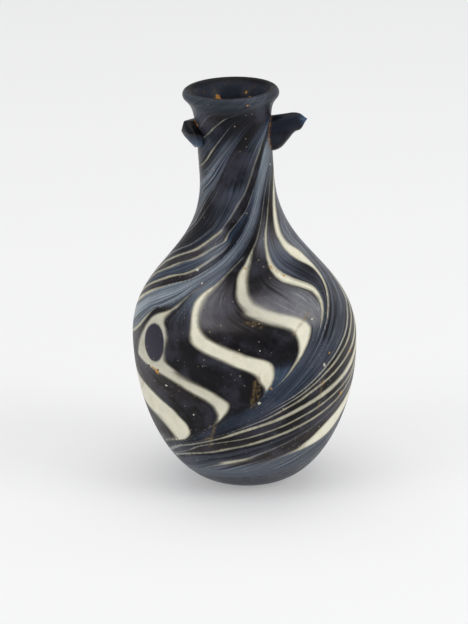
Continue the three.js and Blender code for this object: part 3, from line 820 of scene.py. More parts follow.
        (80, 0.1, -0.2, 0.1, -0.2), (86, 0.14, -0.3, 0.25, -0.3), (91, 0.4, -0.4, 0.45, -0.4),
        (94, 0.3, -0.3, 0.3, -0.3), (97, 0.12, 0.2, 0.12, 0.2),
    ],
}  # fmt: skip

print("stretches of glass between trails:", len(GLASS))

# %% Softness of a trail's edges
# Height, softness in mm on the side of smaller angles, then on the side of larger angles.
SOFTNESS = {
    "band_a": [
        (13, 0.6, 0.35), (17, 1.2, 0.3), (24, 1.6, 0.6), (30, 1.4, 0.7), (38, 0.6, 0.4), (44, 0.25, 0.2),
    ],
    "band_b": [
        (24, 0.6, 0.35), (28, 0.7, 0.4), (33, 0.5, 0.6), (38, 0.6, 0.7), (44, 0.6, 0.9), (49, 0.3, 0.3),
    ],
    "band_c": [
        (32, 0.6, 0.3), (36, 0.7, 0.3), (41, 0.6, 0.5), (46, 0.45, 0.9), (52, 0.5, 1.0), (57, 0.3, 0.6),
    ],
    "band_d": [
        (36, 0.3, 0.2), (43, 0.5, 0.3), (46, 0.9, 0.4), (48, 1.3, 0.9), (51.5, 0.9, 1.2), (54, 0.5, 0.8),
        (60, 0.25, 0.5),
    ],
    "band_e": [(50, 0.15, 0.12), (56, 0.2, 0.15), (62, 0.35, 0.15), (68, 0.2, 0.2)],
    "band_f": [(54, 0.2, 0.3), (60, 0.4, 0.6), (66, 0.2, 0.4), (74, 0.2, 0.5)],
    "stream_a": [(60, 0.12, 0.2), (66, 0.2, 0.35), (69, 0.4, 0.3), (76, 0.4, 0.3), (84, 0.35, 0.3)],
    "stream_b": [(58, 0.2, 0.3), (64, 0.35, 0.35), (67, 0.15, 0.2)],
    "low_streak": [(8, 0.3, 0.4), (11, 0.35, 0.5), (14, 0.2, 0.25), (84, 0.15, 0.25)],
    "back_a": [(12, 0.4, 0.5), (15, 0.2, 0.4), (20, 0.2, 0.9), (26, 0.4, 0.6)],
}  # fmt: skip
PLAIN_SOFTNESS = [(0, 0.16, 0.16)]
print("trails with soft edges:", len(SOFTNESS))

# %% [markdown]
# The trails could be coloured vertex by vertex, but their edges would then be as ragged as the mesh.
# So at any height, the trails' places turn the angle round the flask into one smooth trail coordinate:
# 0 on the first trail, 1 on the second, and so on round. The shader then only has to ask how far a
# point is from a whole number, so the edges stay crisp between the mesh's vertices.

# %% Work out the trail coordinate
LEVEL_STEP = 0.1
levels = np.arange(-3.0, 102.0 + LEVEL_STEP / 2, LEVEL_STEP)
TRAIL_COUNT = len(ORDER)
FOOT_SWIRL = 28.0  # degrees a mm: under the foot the trails wind on towards the middle
SWEEPS_WIDER = 1.35  # their edges are soft, which makes them look thinner
PLACE_REACH = 9  # levels that are averaged, so that a line has no kinks
FACT_REACH = 15  # the same for strengths, softness and tones


def curve_through(known_x, known_y, at):
    """A smooth curve that doesn't overshoot the known points."""
    span = np.diff(known_x)
    slope = np.diff(known_y) / span
    rising = slope[:-1] * slope[1:] > 0
    near = np.zeros(len(slope) - 1)
    np.divide(2 * slope[:-1] * slope[1:], slope[:-1] + slope[1:], out=near, where=rising)
    tilt = np.concatenate([slope[:1], near, slope[-1:]])
    i = np.clip(np.searchsorted(known_x, at) - 1, 0, len(span) - 1)
    t = np.clip((at - known_x[i]) / span[i], 0, 1)
    start = (2 * t**3 - 3 * t**2 + 1) * known_y[i] + (t**3 - 2 * t**2 + t) * span[i] * tilt[i]
    return start + (3 * t**2 - 2 * t**3) * known_y[i + 1] + (t**3 - t**2) * span[i] * tilt[i + 1]


def smoothed(rows, column, reach=PLACE_REACH):
    table = np.array(rows, dtype=float)
    if len(table) < 3:
        values = np.interp(levels, table[:, 0], table[:, column])
    else:
        values = curve_through(table[:, 0], table[:, column], levels)
    padded = np.pad(values, reach // 2, mode="edge")
    weight = np.hanning(reach + 2)[1:-1]
    return np.convolve(padded, weight / weight.sum(), mode="valid")


centre = np.stack([smoothed(TRAILS[name], 1) for name in ORDER])
width = np.stack([smoothed(TRAILS[name], 2) for name in ORDER])
for at, name in enumerate(ORDER):
    if name.startswith("sweep"):
        width[at] *= SWEEPS_WIDER
centre += np.minimum(levels, 0) * FOOT_SWIRL
gaps = np.diff(np.vstack([centre, centre[:1] + 360]), axis=0)
print("narrowest gap between trails, degrees:", gaps.min().round(2))

# %% Tabulate it by height and angle
BEARING_STEP = 0.5
bearings = np.arange(-180, 180.01, BEARING_STEP)
coordinate = np.empty((len(levels), len(bearings)))
half_left = np.empty_like(centre)
half_right = np.empty_like(centre)
TURNS = np.arange(-2, 4)
for row in range(len(levels)):
    middles = np.concatenate([centre[:, row] + 360 * turn for turn in TURNS])
    widths = np.tile(width[:, row], len(TURNS))
    numbers = np.arange(len(middles)) + TURNS[0] * TRAIL_COUNT
    between = (middles[:-1] + widths[:-1] / 2 + middles[1:] - widths[1:] / 2) / 2
    known_x = np.empty(2 * len(middles) - 1)
    known_y = np.empty_like(known_x)
    known_x[0::2] = middles
    known_x[1::2] = between
    known_y[0::2] = numbers
    known_y[1::2] = numbers[:-1] + 0.5
    coordinate[row] = curve_through(known_x, known_y, bearings)
    own = np.arange(TRAIL_COUNT)
    edges = centre[:, row] - width[:, row] / 2
    half_left[:, row] = own - curve_through(known_x, known_y, edges)
    edges = centre[:, row] + width[:, row] / 2
    half_right[:, row] = curve_through(known_x, known_y, edges) - own
print("trail coordinate from", coordinate.min().round(1), "to", coordinate.max().round(1))


# %% [markdown]
# Each vertex now gets its own facts from the tables, as attributes that the material reads: its trail
# coordinate, the half width and softness of the nearest trail, the strength, and the tone of the glass.
# Unlike an image they need no unwrapping, and they stay with the glass from every side.

# %% Read the tables at every vertex
def table_at(table, row_at, column_at):
    row = np.clip(row_at.astype(int), 0, table.shape[0] - 2)
    column = np.clip(column_at.astype(int), 0, table.shape[1] - 2)
    down = row_at - row
    along = column_at - column
    upper = table[row, column] * (1 - along) + table[row, column + 1] * along
    lower = table[row + 1, column] * (1 - along) + table[row + 1, column + 1] * along
    return upper * (1 - down) + lower * down


under_foot = np.where((z < FOOT_WALL / 2) & (radius < FOOT_RADIUS), (radius - FOOT_RADIUS) * 0.4, 0)
level_at = np.clip((z + under_foot - levels[0]) / LEVEL_STEP, 0, len(levels) - 1.001)
bearing_at = (angle + 180) / BEARING_STEP
trail = table_at(coordinate, level_at, bearing_at)
by_angle = np.gradient(coordinate, BEARING_STEP, axis=1)
by_height = np.gradient(coordinate, LEVEL_STEP, axis=0)
slope_of_outline = np.interp(z, outside[:, 1], np.abs(tangent[:, 1]))
round_part = table_at(by_angle, level_at, bearing_at) / (np.radians(1) * np.maximum(radius, 1))
rising_part = table_at(by_height, level_at, bearing_at) * np.clip(slope_of_outline, 0.05, 1)
steepness = np.hypot(round_part, rising_part)  # trail coordinate a mm
print("vertices:", count, "steepness:", steepness.min().round(4), steepness.max().round(3))

# %% Find the two trails that each vertex lies between
level_row = np.clip(np.round(level_at).astype(int), 0, len(levels) - 1)
before = np.floor(trail).astype(int) % TRAIL_COUNT
after = (before + 1) % TRAIL_COUNT
passed = trail - np.floor(trail)
# Broad bands keep their own facts up to the middle of a gap. Tightly packed threads share theirs.
packed = step_between(steepness, 0.3, 0.9)
share_after = (1 - packed) * (passed >= 0.5) + packed * passed


def between_trails(of_before, of_after):
    return of_before[before, level_row] * (1 - share_after) + of_after[after, level_row] * share_after


half = between_trails(half_right, half_left)
print("vertices among broad bands:", int((packed < 0.5).sum()))


# %% Strength, softness and tone at every vertex
def by_trail(rows_of, column, default=None):
    rows = [rows_of.get(name, default) if default else rows_of[name] for name in ORDER]
    return np.stack([smoothed(r, column, FACT_REACH) for r in rows])


strength = by_trail(STRENGTH, 1)
FOOT_FADE = (4, 9)  # under the belly the trails sink into the dark glass between these heights
strength = between_trails(strength, strength) * step_between(z, *FOOT_FADE)
soft_left = by_trail(SOFTNESS, 1, PLAIN_SOFTNESS)
soft_right = by_trail(SOFTNESS, 2, PLAIN_SOFTNESS)
softness = between_trails(soft_right, soft_left)
fading = step_between(passed, 0.1, 0.9)


def glass_between(column, next_column):
    """A fact of the glass, which fades from beside one trail to beside the next."""
    beside = by_trail(GLASS, column)[before, level_row]
    beside_next = by_trail(GLASS, next_column)[before, level_row]
    return beside * (1 - fading) + beside_next * fading


tone = glass_between(1, 3)
warmth = glass_between(2, 4)
print("tone from", tone.min().round(2), "to", tone.max().round(2))

# %% Adjust the tone of the flare and the neck
FLARE_DARKER = 0.6  # at the front of the flare, which faces a little to the left
FLARE_FRONT, FLARE_SPREAD = -10, 30  # degrees
NECK_PALER = 0.08  # the drawn-out glass of the neck is a little paler than the tables say
in_front = np.exp(-(((angle - FLARE_FRONT) / FLARE_SPREAD) ** 2))
tone *= 1 - FLARE_DARKER * step_between(z, 88, 94) * in_front
tone += NECK_PALER * step_between(z, 66, 76) * step_between(-z, -92, -86)
print("tone now from", tone.min().round(2), "to", tone.max().round(2))

# %% Mark the inside and the stubs
STUBS_FROM, STUBS_TO = 80, 97  # heights in mm
beside_wall = (outside_radius - radius) / wall_at(z)
in_lip = (z > lip_start[1]) & (radius > LIP_RADIUS - 2 * LIP_ROUND - 0.2)
lip_depth = (LIP_RADIUS - LIP_ROUND * 0.7 - radius) / LIP_ROUND
LIP_SHADE_DEPTHS = (-0.15, 0.2)  # painted shade: a dark line runs along the inner side of the lip, where it turns away into the hollow, from this depth on
inner = np.where(in_lip, step_between(lip_depth, 0, 0.9), step_between(beside_wall, 0.35, 0.65))
inner = np.where((z < FOOT_WALL / 2) | (proud > -0.02), 0, inner)
at_stubs = (z > STUBS_FROM) & (z < STUBS_TO) & (proud > 0.03)
stub = np.where(at_stubs, step_between(proud, 0.02, 0.3), 0)
print("vertices inside:", int((inner > 0.5).sum()), "on the stubs:", int(at_stubs.sum()))

# %% Find the seams, where an edge leads from the neck to a stub
SEAM_MM = 0.3
FAR = 9.0  # mm
ends = np.empty(len(flask.data.edges) * 2, dtype=np.int32)
flask.data.edges.foreach_get("vertices", ends)
ends = np.concatenate([ends.reshape(-1, 2), ends.reshape(-1, 2)[:, ::-1]])
crosses = (proud[ends[:, 0]] < 0.05) & (proud[ends[:, 1]] > 0.08) & at_stubs[ends[:, 1]]
seam_points = np.unique(ends[crosses, 0])
seam_tree = kdtree.KDTree(len(seam_points))
for at, i in enumerate(seam_points):
    seam_tree.insert(Vector(spots[i]), at)
seam_tree.balance()
seam_distance = np.full(count, FAR)
for i in np.flatnonzero((z > STUBS_FROM) & (z < STUBS_TO + 2) & (inner < 0.5)):
    seam_distance[i] = seam_tree.find(Vector(spots[i]))[2]
seam = np.exp(-((seam_distance / SEAM_MM) ** 2)) * (np.abs(x) > 4)
seam *= np.where(x < 0, step_between(z, 90.5, 92.5), 0.7)
print("vertices near the seams:", int((seam > 0.5).sum()))

# %% [markdown]
# A dark round eye lies in one of the bands, and soil and weathering have left small marks: orange spots,
# dark pits, pale bubbles and brown cracks. A noise alone would put them anywhere, so those that catch the
# eye are given where the real flask has them, each with its size in mm, and a few more are invented for
# the far side.

# %% The eye and the small marks
EYE = (-53.7, 40.5, 4.07, 4.75)  # degrees, height, half width and half height in mm
ORANGE_SPOTS = [
    (-51.2, 33.5, 0.9, 0.8), (-54.6, 33.9, 0.8, 0.3), (68.5, 36.2, 0.7, 0.45), (61, 26.2, 0.8, 0.5),
    (43.5, 31.3, 0.5, 0.3), (13.5, 23.3, 0.4, 0.3), (13.2, 32.4, 0.6, 0.35), (3.4, 59.8, 0.5, 0.3),
    (34.5, 57.3, 0.5, 0.25), (26.5, 59.7, 0.4, 0.25), (-27, 29.5, 0.4, 0.25), (48, 38.6, 0.4, 0.25),
    (-80, 93.2, 0.8, 0.4), (-68, 92.6, 0.5, 0.45), (-60, 91.2, 0.5, 0.35), (20, 99.3, 0.35, 0.25),
    (150, 42, 1.2, 0.6), (-140, 55, 1.0, 0.5), (110, 28, 1.0, 0.6),
]  # fmt: skip
DARK_SPOTS = [
    (-58.1, 34.1, 0.6, 0.45), (-50, 33.9, 0.35, 0.4), (50, 45.1, 0.7, 0.4), (45.5, 39, 0.5, 0.3),
    (17, 98.8, 0.3, 0.3), (-38, 31.6, 0.4, 0.2), (160, 38, 0.6, 0.4), (-120, 40, 0.6, 0.5),
]  # fmt: skip
PALE_SPOTS = [
    (-44.8, 30.5, 0.5, 0.3), (-38.6, 58.5, 0.6, 0.3), (44.2, 36.1, 0.6, 0.5), (41.2, 47.6, 0.5, 0.3),
    (6.8, 28.5, 0.6, 0.5), (65.8, 82.6, 0.5, 0.3), (-29, 24.2, 0.35, 0.25), (-6.5, 53, 0.3, 0.15),
    (80, 51.7, 0.8, 0.2), (-47, 28, 0.5, 0.15), (8, 42, 0.3, 0.3), (-30, 56, 0.3, 0.3),
]  # fmt: skip
MOUTH_SPOTS = [  # on the inside, across the mouth
    (-152, 97.0, 0.8, 0.7), (-158, 96.0, 0.5, 0.4), (152, 97.6, 0.4, 0.4), (143, 96.6, 0.35, 0.5),
]  # fmt: skip
CRACK_EDGE, CRACK_FULL = 0.55, 0.1  # mm from the middle of a crack
CRACKS = [
    [(-88, 23), (-79, 24.7), (-72, 26.7), (-67, 28.6)],
    [(3, 27.5), (4, 31), (5, 34.5)],
    [(27, 45.2), (31, 46.6), (35, 47.6), (41, 49.4)],
    [(7, 36), (6.6, 32), (5.6, 27.8)],
    [(24, 59.9), (30, 58.6), (35, 57.2)],
    [(-20, 18.5), (-24, 17.4)],
    [(62, 30), (61.5, 27), (60, 24.6)],
    [(43.5, 32), (42.3, 28.5), (42, 24.5)],
    [(-17, 22), (-20, 18.5), (-22, 15.5)],
    [(1, 48.6), (6, 48.4), (10, 47.8)],
]
HAND_PLACED = ORANGE_SPOTS + DARK_SPOTS + PALE_SPOTS + MOUTH_SPOTS + CRACKS
print("marks placed by hand:", len(HAND_PLACED))


# %% How near every vertex is to them
def mm_round(degrees_apart):
    return np.radians((degrees_apart + 180) % 360 - 180) * np.maximum(radius, 1)


def spotted(spots_of_kind):
    nearness = np.zeros(count)
    for degrees, up, half_across, half_up in spots_of_kind:
        apart = np.hypot(mm_round(angle - degrees) / half_across, (z - up) / half_up)
        nearness = np.maximum(nearness, np.clip(1 - apart / 2, 0, 1))
    return nearness


def distance_to_cracks():
    nearest_crack = np.full(count, FAR)
    for crack in CRACKS:
        for (a0, z0), (a1, z1) in zip(crack, crack[1:]):
            at_x, at_y = mm_round(angle - a0), z - z0
            run_x, run_y = np.radians(a1 - a0) * radius, z1 - z0
            along = np.clip((at_x * run_x + at_y * run_y) / (run_x**2 + run_y**2 + 1e-9), 0, 1)
            distance = np.hypot(at_x - along * run_x, at_y - along * run_y)
            nearest_crack = np.minimum(nearest_crack, distance)
    return nearest_crack


eye_apart = np.hypot(mm_round(angle - EYE[0]) / EYE[2], (z - EYE[1]) / EYE[3])
eye = np.clip((1 - eye_apart) * EYE[2], -3, 3)
crack = step_between(distance_to_cracks(), CRACK_EDGE, CRACK_FULL)
outer = 1 - inner
orange, dark, pale = (spotted(kind) * outer for kind in (ORANGE_SPOTS, DARK_SPOTS, PALE_SPOTS))
orange = np.maximum(orange, spotted(MOUTH_SPOTS) * inner)
# Where the broken stubs end thin, their glass looks blue
thin_left = 0.8 * (x < 0) * step_between(-z, -90.2, -86.8)
thin_right = step_between(x, 15.8, 18.3) * step_between(z, 90.5, 93.0)
thin_glass = np.maximum(thin_left, thin_right) * stub
print("eye's vertices:", int((eye > 0).sum()), "orange:", int((orange > 0.5).sum()))


# %% Store the facts as attributes
def store(name, *columns):
    """Three facts a vertex, in one attribute."""
    layer = flask.data.attributes.new(name, "FLOAT_VECTOR", "POINT")
    layer.data.foreach_set("vector", np.stack(columns, axis=1).astype(np.float32).ravel())


store("edge", half, steepness, softness)
store("glass", strength, tone, warmth)
store("zones", inner, stub, seam)
store("marks", orange, dark, pale)
# Painted highlight: the lip is lit at the front, which faces the viewer, and dark at the back
painted_lip_highlight = step_between(np.cos(np.radians(angle)), -0.4, 0.5)
# Painted shade on the inner side of the lip, where it turns away into the dark hollow
painted_lip_shade = in_lip * (z > lip_centre[1]) * step_between(lip_depth, LIP_SHADE_DEPTHS[0], LIP_SHADE_DEPTHS[1])
store("tips", thin_glass, painted_lip_highlight, painted_lip_shade)
store("details", eye, crack * outer, step_between(z, 95.5, 99.0))
print("attributes of the mesh:", len(flask.data.attributes))

# %% Store the trail coordinate
# It jumps where the circle closes, at the back, so it is stored for each face's own corners.
corner_count = len(flask.data.loops)
corner_vertex = np.empty(corner_count, dtype=np.int32)
flask.data.loops.foreach_get("vertex_index", corner_vertex)
face_of_corner = np.repeat(
    np.arange(len(flask.data.polygons)),
    [polygon.loop_total for polygon in flask.data.polygons],
)
corner_angle = angle[corner_vertex]
faces_largest = np.full(len(flask.data.polygons), -999.0)
np.maximum.at(faces_largest, face_of_corner, corner_angle)
wraps = (faces_largest[face_of_corner] - corner_angle) > 180
corner_trail = trail[corner_vertex] + np.where(wraps, TRAIL_COUNT, 0)
layer = flask.data.attributes.new("trail", "FLOAT", "CORNER")
layer.data.foreach_set("value", corner_trail.astype(np.float32))
print("corners that wrap:", int(wraps.sum()))

# %% Smooth shading with the lump's facets kept
SHARP_DEGREES = 38
for polygon in flask.data.polygons:
    polygon.use_smooth = True
flask.data.set_sharp_from_angle(angle=np.radians(SHARP_DEGREES))
print("edges stay sharp from this many degrees on:", SHARP_DEGREES)

# %% [markdown]
# The real glass is opaque, and its colours lie in the surface. An image could be painted and wrapped
# round it, but would blur close up and stretch at the foot. So one shader layers the colours instead,
# from the facts stored above: dark glass with fine streaks along the flow, the trails, the eye, the
# marks of age, and a dull brown deposit in the seams of the stubs. Every layer is a colour laid over
# the one below, so they can be switched and changed one by one.


# %% Helpers for materials
def srgb(code):
    """A hex code as the linear colour that a shader takes."""
    parts = [int(code[i : i + 2], 16) / 255 for i in (1, 3, 5)]
    linear = [p / 12.92 if p <= 0.04045 else ((p + 0.055) / 1.055) ** 2.4 for p in parts]
    return (*linear, 1)


def new_material(name):
    material = bpy.data.materials.new(name)
    material.use_nodes = True
    return material, material.node_tree


def add_node(tree, kind, inputs=None, **settings):
    node = tree.nodes.new("ShaderNode" + kind)
    for key, value in settings.items():
        setattr(node, key, value)
    for key, value in (inputs or {}).items():
        if isinstance(value, bpy.types.NodeSocket):
            tree.links.new(value, node.inputs[key])
        else:
            node.inputs[key].default_value = value
    return node


marbled, tree = new_material("weathered marbled glass")
tree.nodes.clear()
print("a colour as a shader takes it:", [round(part, 4) for part in srgb("#efebd6")])


# %% Helpers for values and colours
MIX_SHARE, MIX_UNDER, MIX_OVER, MIX_RESULT = 0, 6, 7, 2  # a Mix node's sockets for colours


def math(operation, a, b=0.0, c=0.0, clamp=False):
    inputs = {0: a, 1: b, 2: c}
    return add_node(tree, "Math", inputs, operation=operation, use_clamp=clamp).outputs[0]


def total(*parts):
    so_far = parts[0]
    for part in parts[1:]:
        so_far = math("ADD", so_far, part)
    return so_far


def about_middle(pattern, swing):
    """A noise pattern as a swing about 0, this wide from its darkest to its lightest."""
    return math("MULTIPLY", math("SUBTRACT", pattern, 0.5), swing)


def ramp_between(value, start, end, out_start=0.0, out_end=1.0):
    inputs = {"Value": value, "From Min": start, "From Max": end, "To Min": out_start, "To Max": out_end}
    return add_node(tree, "MapRange", inputs, interpolation_type="SMOOTHSTEP").outputs["Result"]


def blend(share, under, over):
    """One colour over another, by share."""
    inputs = {MIX_SHARE: share, MIX_UNDER: under, MIX_OVER: over}
    return add_node(tree, "Mix", inputs, data_type="RGBA").outputs[MIX_RESULT]


def laid_over(under, mask, share, code):
    """A colour laid over another where the mask is 1, as strongly as the share says."""
    return blend(math("MULTIPLY", mask, share), under, srgb(code))


def split(vector):
    return add_node(tree, "SeparateXYZ", {0: vector}).outputs


# %% Read the attributes in the shader
def attribute(name, output="Vector"):
    return add_node(tree, "Attribute", attribute_type="GEOMETRY", attribute_name=name).outputs[output]


trail_at = attribute("trail", "Fac")
half_at, steep_at, soft_at = split(attribute("edge"))
strength_at, tone_at, warmth_at = split(attribute("glass"))
inner_at, stub_at, seam_at = split(attribute("zones"))
marks_at = split(attribute("marks"))
eye_at, crack_at, rim_at = split(attribute("details"))
thin_at, painted_lip_highlight_at, painted_lip_shade_at = split(attribute("tips"))
object_place = add_node(tree, "TexCoord").outputs["Object"]
place_mm = add_node(tree, "VectorMath", {0: object_place, "Scale": 1 / MM}, operation="SCALE").outputs[0]
height_mm = split(place_mm)[2]
print("nodes that read the mesh:", len(tree.nodes))

# %% [markdown]
# When glass is drawn out, everything in it is drawn out along the flow: the fine streaks run beside
# the trails. So their noise isn't laid on the object's own directions. It reads the trail coordinate
# across the flow and the height along it. The coordinate is wound round a circle first, so that the
# streaks close at the back without a seam.

# %% Streaks along the flow
STREAKS_A_TRAIL = 7.0
STREAK_LENGTH_MM = 26.0
CLOUD_MM = 5.0
GRAIN_MM = 0.7


def noise(place, size, detail=3.0, rough=0.55):
    inputs = {"Vector": place, "Scale": 1 / size, "Detail": detail, "Roughness": rough}
    return add_node(tree, "TexNoise", inputs).outputs["Fac"]


wound = math("MULTIPLY", trail_at, 2 * np.pi / TRAIL_COUNT)
circle = STREAKS_A_TRAIL * TRAIL_COUNT / (2 * np.pi)
flow_place = {
    0: math("MULTIPLY", math("COSINE", wound), circle),
    1: math("MULTIPLY", math("SINE", wound), circle),
    2: math("DIVIDE", height_mm, STREAK_LENGTH_MM),
}
flow = add_node(tree, "CombineXYZ", flow_place).outputs[0]
# The sizes of these three are shares of a streak's own width and length
streak = noise(flow, 1.0, 3.0, 0.6)
broad_streak = noise(flow, 3.2, 2.0, 0.5)
fine_streak = noise(flow, 0.35, 2.0, 0.6)
cloud = noise(place_mm, CLOUD_MM, 4.0, 0.6)
grain = noise(place_mm, GRAIN_MM, 3.0, 0.6)
print("radius of the circle of streaks:", round(circle, 1))


# %% Ragged marks
def mark(nearness):
    """A spot with a ragged edge, from a field that falls from 1 in its middle to 0.5 at its rim."""
    return ramp_between(math("ADD", about_middle(grain, 0.8), nearness), 0.5, 0.62)


orange_at, dark_at, pale_at = (mark(nearness) for nearness in marks_at)
print("nodes with the marks:", len(tree.nodes))

# %% [markdown]
# The dark ground isn't one colour. It is almost black where it is thick, slate where pale glass was
# stirred into it, blue where that is thin, and brownish where weathering has clouded it. The tone and
# warmth that were stored by height set the middle, and the streaks swing it up and down.

# %% Tone of the dark glass
MOTTLE_MM = 1.8
swing = total(
    about_middle(streak, 0.7),
    about_middle(broad_streak, 0.5),
    about_middle(cloud, 0.16),
    about_middle(fine_streak, 0.45),
)
# The brownish haze is grainy, not streaky
haze = math("MULTIPLY", warmth_at, 1.8, clamp=True)
mottle = about_middle(noise(place_mm, MOTTLE_MM, 5.0, 0.7), 0.7)
swing = math("MULTIPLY_ADD", math("SUBTRACT", mottle, swing), math("MULTIPLY", haze, 0.8), swing)
# Black glass swings less than pale glass does
swing = math("MULTIPLY", swing, math("MULTIPLY_ADD", tone_at, 1.3, 0.3))
# Thin lines, dark and pale, where the slate was drawn out
dark_line = math("MULTIPLY", ramp_between(streak, 0.42, 0.36), math("MULTIPLY", tone_at, 0.35))
pale_line = math("MULTIPLY", ramp_between(fine_streak, 0.6, 0.68), math("MULTIPLY", tone_at, 0.3))
swing = math("ADD", swing, math("SUBTRACT", pale_line, dark_line))
shade = math("ADD", tone_at, swing, clamp=True)
print("nodes with the tone:", len(tree.nodes))

# %% Colours of the dark glass
TONES = [
    (0.0, "#08070a"),
    (0.2, "#18161b"),
    (0.4, "#393b43"),
    (0.6, "#595f69"),
    (0.8, "#7c858d"),
    (1.0, "#a0a9b0"),
]
MIST_MM = 8.0
MIST_SHARE = 0.24
slate = add_node(tree, "ValToRGB", {"Fac": shade})
stops = slate.color_ramp.elements
stops[0].color = srgb(TONES[0][1])
stops[1].color = srgb(TONES[-1][1])
for position, code in TONES[1:-1]:
    stop = stops.new(position)
    stop.color = srgb(code)
blue_share = math("MULTIPLY", warmth_at, -0.42, clamp=True)
blue_glass = blend(shade, srgb("#0a111e"), srgb("#567ba2"))
brown_share = math("MULTIPLY", warmth_at, 0.75, clamp=True)
brown_glass = blend(shade, srgb("#151012"), srgb("#a3948a"))
ground = blend(blue_share, slate.outputs["Color"], blue_glass)
ground = blend(brown_share, ground, brown_glass)
# Weathering lies on the dark glass as a thin mist
mist = ramp_between(noise(place_mm, MIST_MM, 4.0, 0.55), 0.46, 0.66)
ground = laid_over(ground, mist, MIST_SHARE, "#5d5d6e")
print("tones of the dark glass:", len(TONES))

# %% [markdown]
# A trail was a thread of cream glass, pressed flat. In its middle it is opaque and warm, and towards
# its edges it thins out over the dark glass. The trail coordinate says how far a point is from the
# trail's middle. Divided by its steepness, that is a depth in millimetres inside the edge, so the
# edges can be made soft or crisp by real sizes. Where a thread is thin it looks cool, nearly white.

# %% Trails of pale glass
WOBBLE_MM = 0.3  # the uneven edge of a thread drawn by hand
WOBBLE_LENGTH_MM = 1.6
CORE_MM = 1.3  # this deep inside its edge, a trail has its full colour
FADE_OUTSIDE, FADE_INSIDE = -0.5, 1.8  # a soft edge fades between these multiples of its softness
apart = math("ABSOLUTE", math("SUBTRACT", trail_at, math("ROUND", trail_at)))
depth_mm = math("DIVIDE", math("SUBTRACT", half_at, apart), steep_at)
wobble = about_middle(noise(place_mm, WOBBLE_LENGTH_MM), WOBBLE_MM)
fray = about_middle(streak, soft_at)
depth_mm = total(depth_mm, wobble, fray)
fade_start = math("MULTIPLY", soft_at, FADE_OUTSIDE)
fade_end = math("MULTIPLY", soft_at, FADE_INSIDE)
cover = ramp_between(depth_mm, fade_start, fade_end)
pale_cover = math("MULTIPLY", cover, math("MAXIMUM", strength_at, 0.0))
black_cover = math("MULTIPLY", cover, math("MULTIPLY", strength_at, -1.3), clamp=True)
core = math("ADD", ramp_between(depth_mm, 0.0, CORE_MM), math("SUBTRACT", cloud, 0.5), clamp=True)
cream = blend(core, srgb("#a39f8b"), srgb("#efebd6"))
cream = laid_over(cream, ramp_between(cloud, 0.5, 0.75), 0.45, "#cdbf98")
cool = blend(streak, srgb("#b7bcbd"), srgb("#dcdeda"))
thread = blend(ramp_between(strength_at, 0.35, 0.75), cool, cream)
glass_colour = blend(black_cover, ground, srgb("#08070a"))
glass_colour = blend(pale_cover, glass_colour, thread)
print("nodes with the trails:", len(tree.nodes))

# %% The rim with its painted highlight, and the eye
# Painted highlight: the rim's streaky colour shows at the front of the lip and fades to near black at the
# back
rim_highlight_streaks = blend(streak, srgb("#1d2027"), srgb("#59626f"))
rim_colour_with_highlight = blend(painted_lip_highlight_at, srgb("#121215"), rim_highlight_streaks)
glass_colour = blend(math("MULTIPLY", rim_at, 0.5), glass_colour, rim_colour_with_highlight)
eye_colour = blend(cloud, srgb("#26242e"), srgb("#3d3b49"))
eye_edge = math("ADD", eye_at, about_middle(grain, 0.3))
glass_colour = blend(ramp_between(eye_edge, -0.35, 0.3), glass_colour, eye_colour)
print("nodes with the rim and the eye:", len(tree.nodes))

# %% [markdown]
# Centuries in the ground left burst bubbles, pits and specks of soil. They are far too many to place,
# and no two are alike. A cell pattern with cells of one to three millimetres scatters them, and
# filling only some of its cells, by their random colour, makes that look like chance.

# %% Scattered marks of age
BUBBLE_CELL_MM = 1.5
SPECK_CELL_MM = 0.85
PIT_CELL_MM = 2.7
SPECK_PATCH_MM = 9.0
SPECKS_START, SPECKS_FULL = 60.0, 50.0  # the specks lie on the body, below these heights in mm


def scattered(cell_mm, edge, middle, channel, empty_share):
    """Spots that fade from edge to middle, in shares of a cell. A share of the cells stays empty."""
    cells = add_node(tree, "TexVoronoi", {"Vector": place_mm, "Scale": 1 / cell_mm})
    chosen = math("GREATER_THAN", split(cells.outputs["Color"])[channel], empty_share)
    return math("MULTIPLY", ramp_between(cells.outputs["Distance"], edge, middle), chosen)


bubble = scattered(BUBBLE_CELL_MM, 0.19, 0.08, 0, 0.55)
bubble = math("MULTIPLY", bubble, ramp_between(cloud, 0.46, 0.6))
speck_patch = ramp_between(noise(place_mm, SPECK_PATCH_MM), 0.45, 0.55)
low_down = ramp_between(height_mm, SPECKS_START, SPECKS_FULL)
speck = scattered(SPECK_CELL_MM, 0.2, 0.1, 2, 0.6)
speck = math("MULTIPLY", speck, math("MULTIPLY", speck_patch, low_down))
pit = scattered(PIT_CELL_MM, 0.13, 0.05, 1, 0.8)
broken_crack = math("MULTIPLY", crack_at, ramp_between(grain, 0.35, 0.6))
MARKS = [  # where the mark is, how strongly it covers the glass, and its colour
    (speck, 0.4, "#b3aa97"),
    (bubble, 0.5, "#b5a88c"),
    (pit, 0.55, "#3a3026"),
    (broken_crack, 0.5, "#877048"),
    (orange_at, 0.8, "#c08a35"),
    (pale_at, 0.8, "#d9d4c4"),
    (dark_at, 1.0, "#17120e"),
]
for mask, share_of_mark, code in MARKS:
    glass_colour = laid_over(glass_colour, mask, share_of_mark, code)
print("kinds of marks:", len(MARKS))

